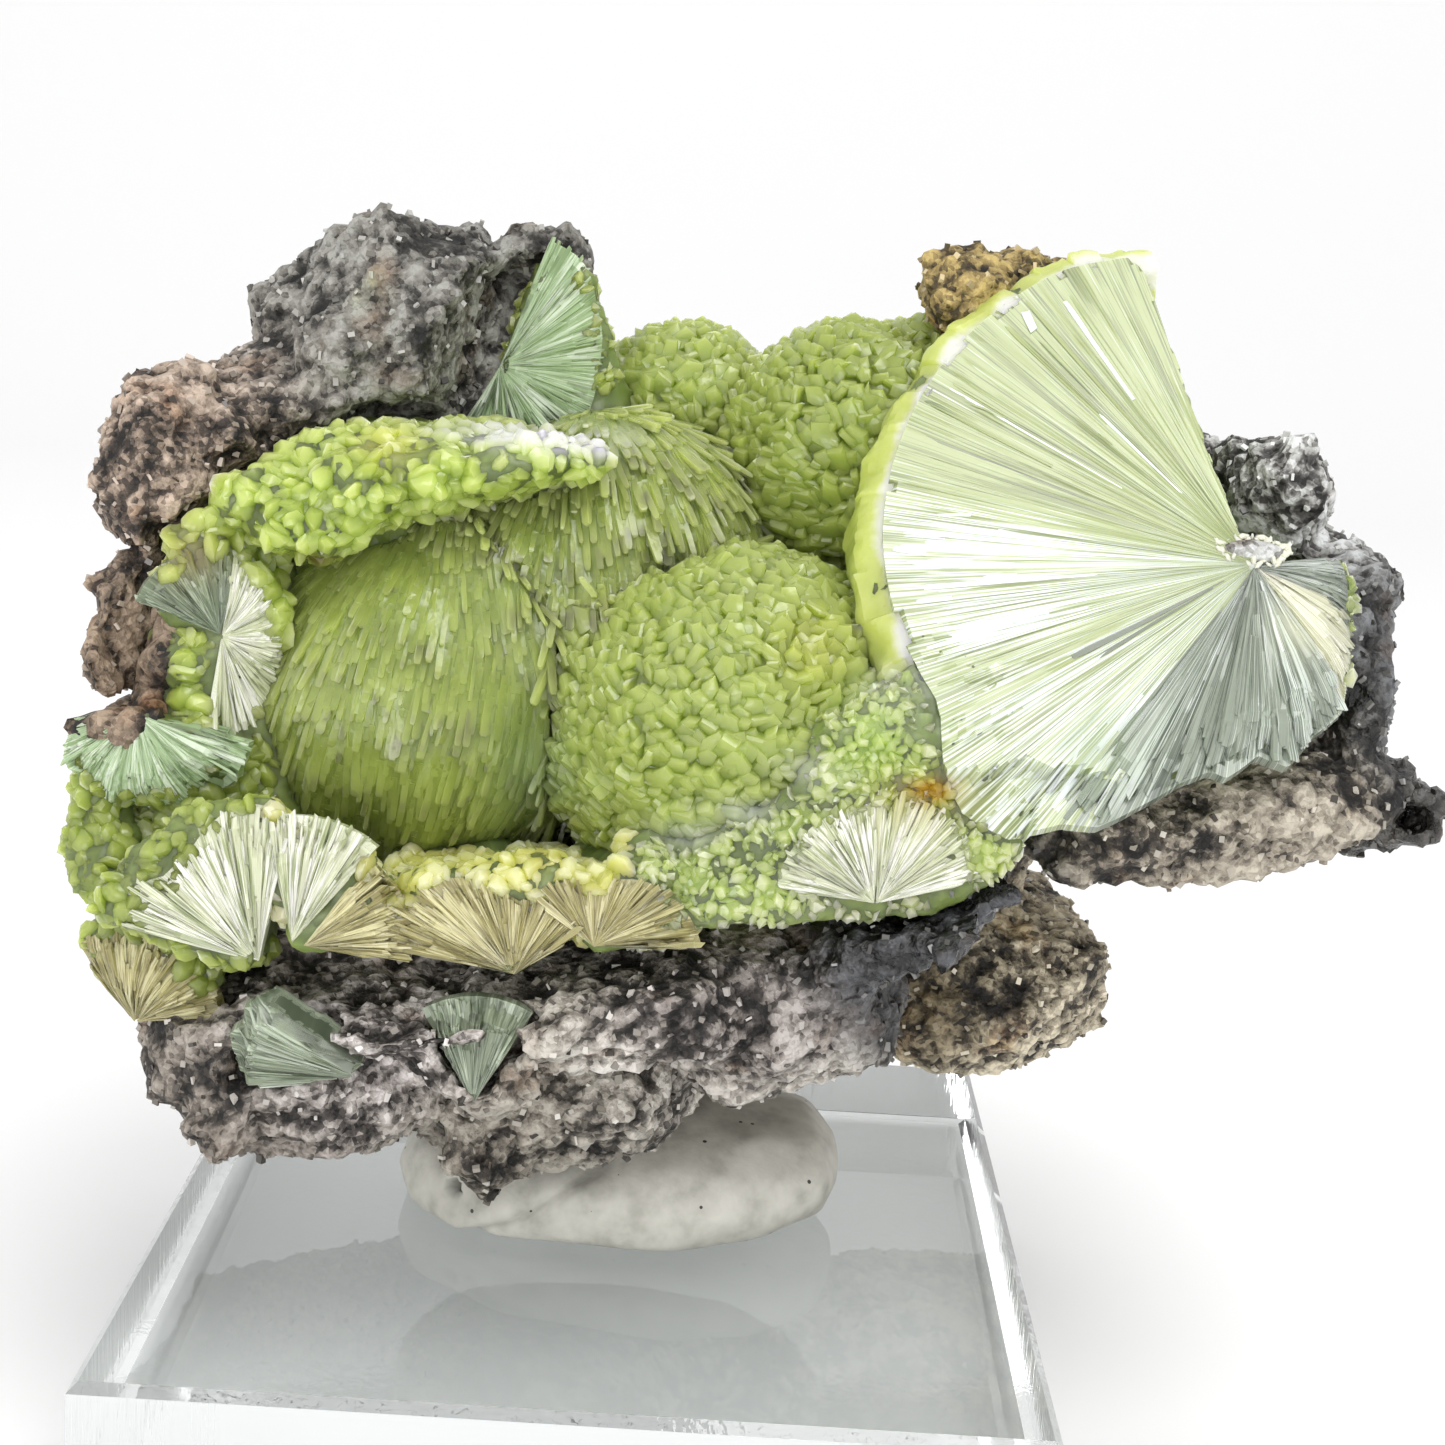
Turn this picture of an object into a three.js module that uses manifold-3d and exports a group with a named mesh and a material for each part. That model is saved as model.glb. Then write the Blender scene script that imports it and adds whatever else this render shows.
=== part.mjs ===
// A wavellite specimen: green radiating balls and cut fans in a pocket of grey siliceous rock,
// pressed into white putty on a clear acrylic base. Millimetres, +Z up. The origin is the middle
// of the base's underside, and the pocket opens towards -Y.
import * as THREE from "three";
import { ConvexGeometry } from "three/addons/geometries/ConvexGeometry.js";
import { mergeVertices } from "three/addons/utils/BufferGeometryUtils.js";
import Module from "manifold-3d";

const wasm = await Module();
wasm.setup();

// Driving dimensions.
const BASE_SIDE = 40;
const BASE_THICKNESS = 10;
const BASE_CHAMFER = 0.4;
const SEAT_GAP = 0.4; // between the rock and what sits in it, and between putty and base
const BALL_RELIEF = 0.4; // how far the crystal ends on a ball stand out
const RIND = 1.4; // width of the drusy rind round a cut fan
const FAN_RELIEF = 0.22; // height of the ribs on a cut fan

// Balls of wavellite: middle, radius, the size of a crystal end and how finely each is divided.
const BALLS = [
  { at: [-9.3, 1.0, 34.4], radius: 8.6, grain: [1.3, 1.3, 3.2], detail: 4 }, // the large silky ball
  { at: [-1.0, 3.0, 40.6], radius: 7.1, grain: [1.4, 1.4, 2.4], detail: 3 }, // its shoulder
  { at: [5.3, -3.0, 34.2], radius: 8.2, grain: [1.7, 1.7, 1.7], detail: 4 }, // the drusy middle ball
  { at: [9.8, 6.0, 45.8], radius: 6.2, grain: [1.8, 1.8, 1.8], detail: 3 }, // behind the slice
  { at: [13.2, 7.0, 48.2], radius: 4.2, grain: [1.7, 1.7, 1.7], detail: 2 },
  { at: [1.8, 9.0, 46.8], radius: 4.5, grain: [1.5, 1.5, 1.5], detail: 2 }, // small, on the skyline
  { at: [-20.0, -4.0, 27.6], radius: 3.8, grain: [1.4, 1.4, 1.4], detail: 2 }, // the left hollow
];

// Runs of drusy crust: a path, the radius of the crystal lumps at its ends, how many there are
// and how far they stray from it.
const CRUST = [
  {
    radii: [2.2, 1.9], count: 5, stray: 0.6,
    path: [[-17.6, -4.6, 44.8], [-14.8, -5.6, 42.8], [-11.6, -5.8, 44.2]],
  },
  {
    radii: [1.8, 1.2], count: 5, stray: 0.3,
    path: [[-11.2, -5.6, 45.2], [-6, -5.2, 45.9], [-1.6, -4, 46.2]],
  },
  {
    radii: [1.5, 1.6], count: 6, stray: 0.4,
    path: [[-9.2, -11, 28.4], [-3, -12.2, 29.6], [2, -12.4, 30]],
  },
  {
    radii: [1.8, 2], count: 5, stray: 0.4,
    path: [[-21.6, -6.8, 31.2], [-21.6, -8.4, 27.4], [-18, -9.6, 25.4]],
  },
  { radii: [1.7, 1.9], count: 3, stray: 0.3, path: [[-18.2, -6.4, 42.0], [-18.8, -6.6, 36.6]] },
  { radii: [1.1, 1.7], count: 3, stray: 0.3, path: [[-2.8, 5.0, 53.2], [-2.2, 6.0, 50.0]] },
  {
    radii: [1.2, 1.4], count: 4, stray: 0.2,
    path: [[1.4, -10.8, 30.8], [7.0, -11.3, 34.7], [13.4, -10.7, 40.6]],
  },
];

// Broken slopes of wavellite, by their corners.
const SLOPES = [
  [ // from the middle ball down to the front rim, and across to the big slice
    [1.0, -10.4, 30.2], [5.4, -11.2, 33.6], [9.0, -11.2, 35.8], [13.8, -10.6, 41.0], [18.6, -10.4, 38.4],
    [18.2, -12.2, 33.2], [14.8, -13.0, 29.6], [9.0, -13.2, 28.8], [3.0, -13.0, 28.2], [2.0, -6.0, 30.0],
    [16.0, -4.0, 38.0], [14.0, -5.0, 30.0],
  ],
  [ // the wall between the left hollow and the large ball
    [-22.2, -5.0, 25.4], [-22.8, -5.0, 33.0], [-18.8, -6.0, 41.8], [-15.2, -4.0, 42.6], [-16.0, -3.4, 34.0],
    [-13.6, -7.0, 28.4], [-17.6, -10.2, 25.4], [-20.0, 0.0, 27.0], [-19.0, 0.0, 38.0], [-13.0, 1.0, 30.0],
  ],
  [ // the ledge over the large ball
    [-18.6, -4.6, 46.6], [-18.2, -5.4, 43.0], [-15.0, -5.8, 42.0], [-11.4, -5.6, 43.6], [-6.0, -5.2, 45.0],
    [-1.2, -3.8, 46.0], [-1.6, -2.8, 46.8], [-9.0, -4.8, 46.8], [-16.0, 4.0, 47.0], [-2.0, 4.0, 47.0],
    [-16.0, 4.0, 42.0], [-2.0, 4.0, 43.0],
  ],
  [ // behind the yellow front rim
    [-10.0, -9.0, 28.6], [-2.0, -11.4, 29.4], [4.0, -11.6, 29.8], [5.0, -5.0, 30.0], [-10.0, -4.0, 28.0],
    [-8.0, -12.2, 26.8], [3.0, -12.6, 27.4], [0.0, -6.0, 26.6],
  ],
];

// Cut fans: the nucleus, the way the cut faces, the radius, the arc in degrees anticlockwise from
// the right, the number of ribs, the depth of the solid behind the cut, and how the reach varies.
const FANS = [
  {
    at: [26.4, -6.0, 43.8],
    facing: [0, -0.81, 0.586],
    radius: 17.2,
    from: 106.5,
    to: 372,
    ribs: 21,
    depth: 6.5,
    reach: [
      [106.5, 0.97], [120, 1], [180, 0.97], [217, 0.9], [240, 0.74], [262, 0.54], [300, 0.43], [330, 0.31],
      [372, 0.27],
    ],
  },
  { at: [-6.8, 3.4, 48.8], facing: [0.1, -0.98, 0.15], radius: 6.4, from: -70, to: 75, ribs: 7, depth: 4 },
  { at: [-17.3, -7.4, 38.2], facing: [0.3, -0.95, 0], radius: 3.7, from: -105, to: 140, ribs: 8, depth: 3 },
  { at: [-19.8, -9, 35], facing: [-0.1, -0.99, 0.1], radius: 4.2, from: 188, to: 342, ribs: 7, depth: 4.4 },
  { at: [-14.1, -14, 25.5], facing: [0, -0.97, 0.2], radius: 7.5, from: 84, to: 164, ribs: 7, depth: 5 },
  { at: [-12.6, -14, 26.6], facing: [0, -0.97, 0.22], radius: 5.5, from: 50, to: 106, ribs: 4, depth: 4 },
  { at: [-12.1, -14, 26.4], facing: [0.02, -0.97, 0.18], radius: 4.5, from: 10, to: 62, ribs: 4, depth: 4 },
  { at: [-19.6, -12.1, 22], facing: [-0.2, -0.97, 0.1], radius: 4.9, from: 30, to: 130, ribs: 6, depth: 4 },
  { at: [-3.5, -14, 26.2], facing: [0, -0.94, 0.34], radius: 5.4, from: 44, to: 164, ribs: 7, depth: 4 },
  { at: [-0.2, -14, 27.4], facing: [0, -0.94, 0.34], radius: 3.4, from: 14, to: 136, ribs: 6, depth: 3.6 },
  { at: [11.3, -13.3, 30.1], facing: [0.05, -0.95, 0.3], radius: 5, from: 24, to: 160, ribs: 8, depth: 4 },
];

// Sprays closed in the rock below the pocket, each a piece of its own.
const LOWER_SPRAY = {
  at: [-4.8, -14.2, 20.6], facing: [0, -1, 0.1], radius: 4.4, from: 60, to: 120, ribs: 5, depth: 2.4,
};
const LEFT_SPRAY = {
  at: [-9.4, -14.6, 21.8], facing: [0, -0.98, -0.2], radius: 5.6, from: 146, to: 190, ribs: 5, depth: 2.4,
};

// The rock: broken blocks that run into one another. turn raises the right end, in degrees; knobs
// is how many small broken lumps stand on the block.
const ROCK = [
  { at: [3.0, 10.0, 38.4], half: [25.2, 7.4, 10.6], turn: 2, knobs: 2, corners: 26 },
  { at: [-1.2, 7.4, 25.6], half: [23.2, 8.8, 9.8], turn: 2, knobs: 3, corners: 26 },
  { at: [-9.6, 11.4, 33.0], half: [10.8, 6.2, 9.4], turn: 24, knobs: 1, corners: 16 },
  { at: [9.4, 11.8, 30.6], half: [10.4, 6.4, 8.6], turn: -18, knobs: 1, corners: 18 },
  { at: [25.0, 8.0, 39.3], half: [10.0, 7.0, 10.0], turn: -8, knobs: 2, corners: 20 },
  { at: [-10.9, 5.0, 50.0], half: [6.6, 6.8, 6.5], turn: 12, box: 2.4, knobs: 8, corners: 26 },
  { at: [-16.4, 3.0, 46.6], half: [5.8, 6.8, 4.2], turn: 20, knobs: 2, corners: 16 },
  { at: [-20.6, -1.0, 44.6], half: [3.4, 6.4, 5.0], turn: -14, knobs: 2, corners: 18 },
  { at: [-19.6, -2.0, 37.4], half: [3.6, 6.6, 4.8], turn: 24, knobs: 1, corners: 16 },
  { at: [-21.8, 2.5, 27.6], half: [3.2, 7.0, 7.0], turn: 4, knobs: 1, corners: 16 },
  { at: [-13.4, -8.2, 20.4], half: [7.8, 7.0, 4.3], turn: -14, knobs: 3, corners: 22 },
  { at: [-2.3, -4.4, 18.8], half: [8.4, 8.0, 4.7], turn: 6, box: 2.5, knobs: 2, corners: 24 },
  { at: [0.6, -9.6, 24.0], half: [6.8, 5.2, 3.2], turn: 6, knobs: 3, corners: 18 },
  { at: [7.6, -5.4, 23.4], half: [6.2, 7.8, 4.6], turn: 14, knobs: 2, corners: 18 },
  { at: [12.6, -10.8, 28.5], half: [5.2, 3.2, 2.0], turn: 28, knobs: 1, corners: 14 },
  { at: [17.0, 6.5, 20.6], half: [8.0, 8.0, 5.1], turn: 2, knobs: 3, corners: 20 },
  { at: [25.6, -3.6, 32.8], half: [10.4, 7.4, 3.1], turn: 9, knobs: 2, corners: 20 },
  { at: [33.6, -2.0, 32.6], half: [2.7, 3.8, 2.0], turn: 4, knobs: 1, corners: 12 },
  { at: [32.2, 0.5, 37.8], half: [2.7, 7.4, 7.6], turn: 6, knobs: 2, corners: 16 },
  { at: [28.8, 3.6, 45.0], half: [3.2, 6.0, 4.0], turn: -10, knobs: 2, corners: 14 },
  { at: [16.4, 7.4, 53.4], half: [3.6, 4.4, 2.6], turn: 30, knobs: 2, corners: 16 },
  { at: [19.0, 11.6, 48.6], half: [4.6, 4.6, 6.6], turn: -20, knobs: 1, corners: 16 },
  { at: [-4.9, 6.8, 53.2], half: [2.0, 3.4, 3.0], turn: -24, knobs: 1, corners: 12 },
  { at: [-9.0, -10.6, 24.0], half: [8.2, 5.0, 2.9], turn: -2, knobs: 3, corners: 18 },
];
const KNOB_SIZE = 2.3;
const PITS = [
  { at: [35.0, -4.8, 32.8], half: [0.9, 1.6, 0.9] },
  { at: [13.4, -1.6, 20.8], half: [2.2, 2.6, 1.3] },
  { at: [-1.4, -12.6, 17.6], half: [1.4, 2.0, 0.8] },
  { at: [-18.8, -5.2, 49.4], half: [0.9, 1.4, 0.9] },
  { at: [-9.2, -2.2, 52.0], half: [0.8, 1.4, 0.8] },
];

// The hollow that the crust lines, as lumps of empty space that run out of the front.
const HOLLOW = [
  { at: [-1.6, -10.0, 38.2], half: [18.4, 17.0, 11.4], turn: 4, box: 4, corners: 30 },
  { at: [6.6, -9.0, 47.0], half: [12.6, 20.8, 7.6], turn: 6, box: 3.4, corners: 20 },
  { at: [-3.8, -9.0, 50.4], half: [6.6, 16.8, 6.6], turn: 0, box: 3.4, corners: 18 },
  { at: [-21.0, -16.0, 29.4], half: [7.6, 16.8, 7.4], turn: 0, box: 3.4, corners: 18 },
  { at: [-18.8, -14.0, 38.4], half: [4.6, 11.2, 6.6], turn: 0, box: 3.4, corners: 14 },
  { at: [-3.0, -20.0, 29.2], half: [24.2, 13.6, 5.2], turn: 12, box: 4, corners: 20 },
];

const PUTTY = { at: [1.0, 0.4, 12.0], half: [10.9, 7.4, 3.4], turn: 4, box: 2.6, corners: 72 };

// A number from 0 to 1 that depends only on the three numbers given.
function chance(i, j, k) {
  const s = Math.sin(i * 127.1 + j * 311.7 + k * 74.7) * 43758.5453;
  return s - Math.floor(s);
}

// A closed geometry as a solid that can be joined and cut.
function solidFrom(geometry) {
  const bare = new THREE.BufferGeometry();
  bare.setAttribute("position", geometry.getAttribute("position"));
  bare.setIndex(geometry.index);
  const merged = mergeVertices(bare, 1e-4);
  return new wasm.Manifold(
    new wasm.Mesh({
      numProp: 3,
      vertProperties: new Float32Array(merged.getAttribute("position").array),
      triVerts: new Uint32Array(merged.index.array),
    }),
  );
}

function geometryFrom(solid) {
  const mesh = solid.getMesh();
  const geometry = new THREE.BufferGeometry();
  geometry.setAttribute("position", new THREE.BufferAttribute(mesh.vertProperties, 3));
  geometry.setIndex(new THREE.BufferAttribute(mesh.triVerts, 1));
  geometry.computeVertexNormals();
  return geometry;
}

const join = (solids) => solids.reduce((whole, next) => whole.add(next));

// The largest of the bodies that a cut leaves, so that no crumb floats beside it.
function mainBody(solid) {
  return solid.decompose().reduce((best, body) => (body.volume() > best.volume() ? body : best));
}

// The direction of the n-th of count points spread evenly over a sphere.
function spreadDirection(n, count, seed) {
  const height = 1 - (2 * (n + 0.5)) / count;
  const angle = n * 2.39996 + seed;
  const ring = Math.sqrt(1 - height * height);
  return new THREE.Vector3(ring * Math.cos(angle), ring * Math.sin(angle), height);
}

// Where a squarish lump's surface lies in a direction. box is how square it is, 2 an ellipsoid.
function lumpPoint({ at, half, turn = 0, box = 3 }, direction, share = 1, grow = 0) {
  const [x, y, z] = direction.toArray().map(Math.abs);
  const square = share * (x ** box + y ** box + z ** box) ** (-1 / box);
  const size = new THREE.Vector3(...half.map((h) => h + grow));
  const point = direction.clone().multiplyScalar(square).multiply(size);
  point.applyAxisAngle(new THREE.Vector3(0, -1, 0), THREE.MathUtils.degToRad(turn));
  return point.add(new THREE.Vector3(...at));
}

// A broken block: flat faces between corners that lie a little inside a squarish lump.
function block(spec, { rough = 0.16, grow = 0 } = {}) {
  const { at, corners = 14 } = spec;
  const points = [];
  for (let n = 0; n < corners; n++) {
    const share = 1 - rough * chance(n, at[0], at[2]);
    points.push(lumpPoint(spec, spreadDirection(n, corners, at[0] + at[2]), share, grow));
  }
  return solidFrom(new ConvexGeometry(points));
}

// The small broken lumps that stand on a block.
function knobsOn(spec) {
  const { at, knobs } = spec;
  return Array.from({ length: knobs }, (_, n) => {
    const middle = lumpPoint(spec, spreadDirection(n, knobs, at[1] + at[2]), 0.76);
    const half = [0, 1, 2].map((k) => KNOB_SIZE * (0.7 + 0.8 * chance(n, at[0], k)));
    const turn = 90 * chance(n, 5, at[2]);
    return block({ at: middle.toArray(), half, turn, corners: 9 }, { rough: 0.2 });
  });
}

// A ball whose skin is a mosaic of crystal ends, each a cell that stands at its own height.
function drusyBall({ at, radius, grain, detail }, { relief = BALL_RELIEF, grow = 0 } = {}) {
  const geometry = new THREE.IcosahedronGeometry(1, detail);
  const position = geometry.getAttribute("position");
  const direction = new THREE.Vector3();
  for (let i = 0; i < position.count; i++) {
    direction.fromBufferAttribute(position, i).normalize();
    const cell = direction.toArray().map((d, k) => Math.round(((d * radius) / grain[k]) * 1.001));
    const height = radius + grow + relief * (2 * chance(...cell) - 1);
    direction.multiplyScalar(height).add(new THREE.Vector3(...at));
    position.setXYZ(i, ...direction.toArray());
  }
  return solidFrom(geometry);
}

// Lumps of crystal strung along a path, each a small block.
function crustRun({ path, radii, count, stray }) {
  const curve = new THREE.CatmullRomCurve3(path.map((p) => new THREE.Vector3(...p)));
  return Array.from({ length: count }, (_, n) => {
    const share = n / (count - 1);
    const spot = curve.getPoint(share).toArray();
    const at = spot.map((c, k) => c + stray * (2 * chance(n, k, path[0][2]) - 1));
    const radius = THREE.MathUtils.lerp(...radii, share) * (0.85 + 0.3 * chance(n, 9, path[0][0]));
    const half = [radius * 1.1, radius, radius * 0.9];
    return block({ at, half, box: 2.3, corners: 10 }, { rough: 0.14 });
  });
}

// How far a fan reaches at an angle, read along a list of angle and share of the radius.
function reachAt(reach, angle) {
  if (!reach) return 1;
  const next = reach.findIndex(([a]) => a >= angle);
  if (next <= 0) return reach[Math.max(next, 0)][1];
  const [a0, r0] = reach[next - 1];
  const [a1, r1] = reach[next];
  return r0 + ((r1 - r0) * (angle - a0)) / (a1 - a0);
}

// A spherulite broken through its nucleus: a flat ribbed face, a bevelled rind round its rim and
// the round back of the ball, cut off at a depth.
function fan({ at, facing, radius, from, to, ribs, depth, reach }, { relief = FAN_RELIEF, grow = 0 } = {}) {
  const normal = new THREE.Vector3(...facing).normalize();
  const right = new THREE.Vector3(0, 0, 1).cross(normal).normalize();
  const up = normal.clone().cross(right);
  const frame = new THREE.Matrix4().makeBasis(right, up, normal).setPosition(...at);
  const rays = 2 * ribs + 1;
  const back = depth + grow;
  const positions = [];
  const index = [];
  const spread = THREE.MathUtils.radToDeg(grow / radius);
  for (let i = 0; i < rays; i++) {
    const share = i / (rays - 1);
    const degrees = from - spread + (to - from + 2 * spread) * share;
    const angle = THREE.MathUtils.degToRad(degrees);
    const full = (radius + grow) * reachAt(reach, from + (to - from) * share);
    const height = grow + relief * (i % 2 === 0 ? -1 : 1) * (0.4 + 0.6 * chance(i, ribs, 3));
    const below = Math.min(back, 0.8 * full);
    const rim = full - (grow ? 0 : 0.3 * chance(i, ribs, 7));
    const ring = [
      [Math.max(full - RIND, 0.6 * full), height],
      [rim, grow - 0.55 * RIND],
      [0.9 * Math.sqrt(full ** 2 - below ** 2), -back],
    ];
    for (const [out, z] of ring) positions.push(out * Math.cos(angle), out * Math.sin(angle), z);
  }
  const steps = positions.length / 3 / rays;
  const nucleus = positions.length / 3;
  const root = nucleus + 1;
  positions.push(0, 0, grow, 0, 0, -back);
  for (let i = 0; i < rays - 1; i++) {
    const a = i * steps;
    const b = a + steps;
    index.push(nucleus, a, b);
    for (let k = 0; k < steps - 1; k++) {
      index.push(a + k, a + k + 1, b + k + 1, a + k, b + k + 1, b + k);
    }
    index.push(root, b + steps - 1, a + steps - 1);
  }
  const last = (rays - 1) * steps;
  for (let k = 0; k < steps - 1; k++) {
    index.push(root, k + 1, k);
    index.push(root, last + k, last + k + 1);
  }
  index.push(root, 0, nucleus, root, nucleus, last);
  const geometry = new THREE.BufferGeometry();
  geometry.setAttribute("position", new THREE.Float32BufferAttribute(positions, 3));
  geometry.setIndex(index);
  geometry.applyMatrix4(frame);
  return solidFrom(geometry);
}

const slope = (corners) => solidFrom(new ConvexGeometry(corners.map((c) => new THREE.Vector3(...c))));

const hollow = (grow) => join(HOLLOW.map((spec) => block(spec, { rough: 0, grow })));

// The green crust: balls, drusy lumps, broken slopes and cut fans grown together on the hollow's
// wall, and the big slice that reaches past it.
function wavellite() {
  const [slice, ...small] = FANS.map((spec) => fan(spec));
  const lining = join([
    ...BALLS.map((spec) => drusyBall(spec)),
    ...CRUST.flatMap((spec) => crustRun(spec)),
    ...SLOPES.map(slope),
    ...small,
  ]);
  return mainBody(lining.intersect(hollow(-SEAT_GAP)).add(slice));
}

function base() {
  const half = BASE_SIDE / 2 - BASE_CHAMFER;
  const outline = new THREE.Shape();
  outline.moveTo(-half, -half).lineTo(half, -half).lineTo(half, half).lineTo(-half, half).closePath();
  const geometry = new THREE.ExtrudeGeometry(outline, {
    depth: BASE_THICKNESS - 2 * BASE_CHAMFER,
    bevelThickness: BASE_CHAMFER,
    bevelSize: BASE_CHAMFER,
    bevelSegments: 1,
  });
  return solidFrom(geometry.translate(0, 0, BASE_CHAMFER));
}

// The putty is a pressed lump, flat where it lies on the base.
function putty({ grow = 0 } = {}) {
  const height = BASE_THICKNESS + SEAT_GAP - grow;
  const below = new THREE.BoxGeometry(BASE_SIDE, BASE_SIDE, height).translate(0, 0, height / 2);
  return block(PUTTY, { rough: 0.05, grow }).subtract(solidFrom(below));
}

function rock() {
  const rooms = [
    hollow(0),
    fan({ ...FANS[0], ribs: 16 }, { relief: 0, grow: FAN_RELIEF + SEAT_GAP }),
    putty({ grow: SEAT_GAP + 0.3 }),
    fan({ ...LOWER_SPRAY, ribs: 3 }, { relief: 0, grow: FAN_RELIEF + SEAT_GAP }),
    fan({ ...LEFT_SPRAY, ribs: 3 }, { relief: 0, grow: FAN_RELIEF + SEAT_GAP }),
    ...PITS.map((spec) => block(spec, { rough: 0 })),
  ];
  return mainBody(join(ROCK.flatMap((spec) => [block(spec), ...knobsOn(spec)])).subtract(join(rooms)));
}

function piece(name, solid, colour, roughness, extra = {}) {
  const material = new THREE.MeshStandardMaterial({ color: colour, roughness, metalness: 0, ...extra });
  const mesh = new THREE.Mesh(geometryFrom(solid), material);
  mesh.name = name;
  return mesh;
}

const specimen = new THREE.Group();
specimen.add(
  piece("matrix_rock", rock(), "#6f6a68", 0.95),
  piece("wavellite_crust", wavellite(), "#a9c163", 0.45),
  piece("lower_spray", fan(LOWER_SPRAY), "#b7bf9c", 0.45),
  piece("left_spray", fan(LEFT_SPRAY), "#9fb091", 0.45),
  piece("putty", putty(), "#d3d4cc", 0.8),
  piece("acrylic_base", base(), "#eef3f2", 0.05, { transparent: true, opacity: 0.3 }),
);

export default specimen;
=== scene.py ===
import math

import bmesh
import bpy
import numpy as np
from mathutils import Matrix, Vector, noise
from mathutils.bvhtree import BVHTree


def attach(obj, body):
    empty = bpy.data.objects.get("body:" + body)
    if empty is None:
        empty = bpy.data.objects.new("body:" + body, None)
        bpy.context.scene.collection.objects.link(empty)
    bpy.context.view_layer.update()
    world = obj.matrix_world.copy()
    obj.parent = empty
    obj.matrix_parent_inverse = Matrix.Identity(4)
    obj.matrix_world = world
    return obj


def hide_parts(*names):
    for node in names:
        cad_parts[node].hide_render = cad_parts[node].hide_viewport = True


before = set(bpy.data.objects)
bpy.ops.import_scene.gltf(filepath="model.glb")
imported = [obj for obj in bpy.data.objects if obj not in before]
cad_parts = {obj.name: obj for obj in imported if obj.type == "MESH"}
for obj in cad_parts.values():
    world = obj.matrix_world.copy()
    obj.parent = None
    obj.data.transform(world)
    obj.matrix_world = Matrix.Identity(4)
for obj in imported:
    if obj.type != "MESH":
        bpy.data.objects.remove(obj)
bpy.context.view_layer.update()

# Matrix rock: broken siliceous rock, fine quartz grains cemented in a dark grey mass, with rusty
# stains where iron weathered out. It was knocked off with a hammer, so it is all ledges and pits.
MM = 0.001
ROCK_VOXEL = 0.34 * MM


def linear(code):
    channels = [int(code[i:i + 2], 16) / 255 for i in (1, 3, 5)]
    return [c / 12.92 if c <= 0.04045 else ((c + 0.055) / 1.055) ** 2.4 for c in channels] + [1.0]


def add(tree, kind, links=(), **settings):
    """Adds a node to a tree; links gives each input socket a value, or one or more nodes' outputs."""
    node = tree.nodes.new(kind)
    for key, value in settings.items():
        setattr(node, key, value)
    for socket, source in dict(links).items():
        sources = source if isinstance(source, list) else [source]
        if isinstance(sources[0], bpy.types.NodeSocket):
            for one in sources:
                tree.links.new(one, node.inputs[socket])
        else:
            node.inputs[socket].default_value = source
    return node


def reckon(tree, operation, *values):
    """The result of a sum, difference, product or the like of numbers."""
    return add(tree, "ShaderNodeMath", dict(enumerate(values)), operation=operation).outputs[0]


def scaled(tree, vector, share):
    return add(tree, "ShaderNodeVectorMath", {0: vector, "Scale": share}, operation="SCALE").outputs[0]


def store(tree, shape, name, value, domain):
    """A shape with a number stored on each of its points, faces or instances."""
    links = {"Geometry": shape, "Name": name, "Value": value}
    return add(
        tree, "GeometryNodeStoreNamedAttribute", links, data_type="FLOAT", domain=domain,
    ).outputs[0]


def stored(nodes, name, output="Fac"):
    return add(nodes, "ShaderNodeAttribute", attribute_name=name).outputs[output]


def clouds(nodes, place, size, detail, **more):
    """Soft noise with blotches of a size in mm."""
    links = {"Vector": place, "Scale": 1 / (size * MM), "Detail": detail, **more}
    return add(nodes, "ShaderNodeTexNoise", links).outputs["Fac"]


def cells(nodes, place, size):
    """Small cells of a size in mm, each with its own colour and the distance from its middle."""
    return add(nodes, "ShaderNodeTexVoronoi", {"Vector": place, "Scale": 1 / (size * MM)}).outputs


def spread(nodes, value, low, high, first=0.0, last=1.0):
    """A value's range from low to high, spread from first to last."""
    return add(nodes, "ShaderNodeMapRange", {0: value, 1: low, 2: high, 3: first, 4: last}).outputs[0]


def mixed(nodes, share, one, other, blend="MIX"):
    """Two colours, mixed by a share."""
    links = {"Factor": share, 6: one, 7: other}
    return add(nodes, "ShaderNodeMix", links, data_type="RGBA", blend_type=blend).outputs[2]


def ramp(nodes, value, *stops):
    """A colour for each value; the stops are given as value and colour."""
    node = add(nodes, "ShaderNodeValToRGB", {"Fac": value})
    elements = node.color_ramp.elements
    for n, (place, code) in enumerate(stops):
        stop = elements[n] if n < 2 else elements.new(place)
        stop.position = place
        stop.color = linear(code)
    return node.outputs[0]


def roughen(nodes, shader, *bumps):
    """Bumps on a shader, one over the other, each given as height, depth in mm and strength."""
    links = {}
    for height, depth, strength in bumps:
        links.update({"Height": height, "Distance": depth * MM, "Strength": strength})
        links["Normal"] = add(nodes, "ShaderNodeBump", links).outputs[0]
    nodes.links.new(links["Normal"], shader.inputs["Normal"])


def start_material(name, **sockets):
    """A new material with one Principled shader, whose plain values are given by socket name."""
    material = bpy.data.materials.new(name)
    material.use_nodes = True
    shader = material.node_tree.nodes["Principled BSDF"]
    for socket, value in sockets.items():
        shader.inputs[socket.replace("_", " ")].default_value = value
    return material, material.node_tree, shader


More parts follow.
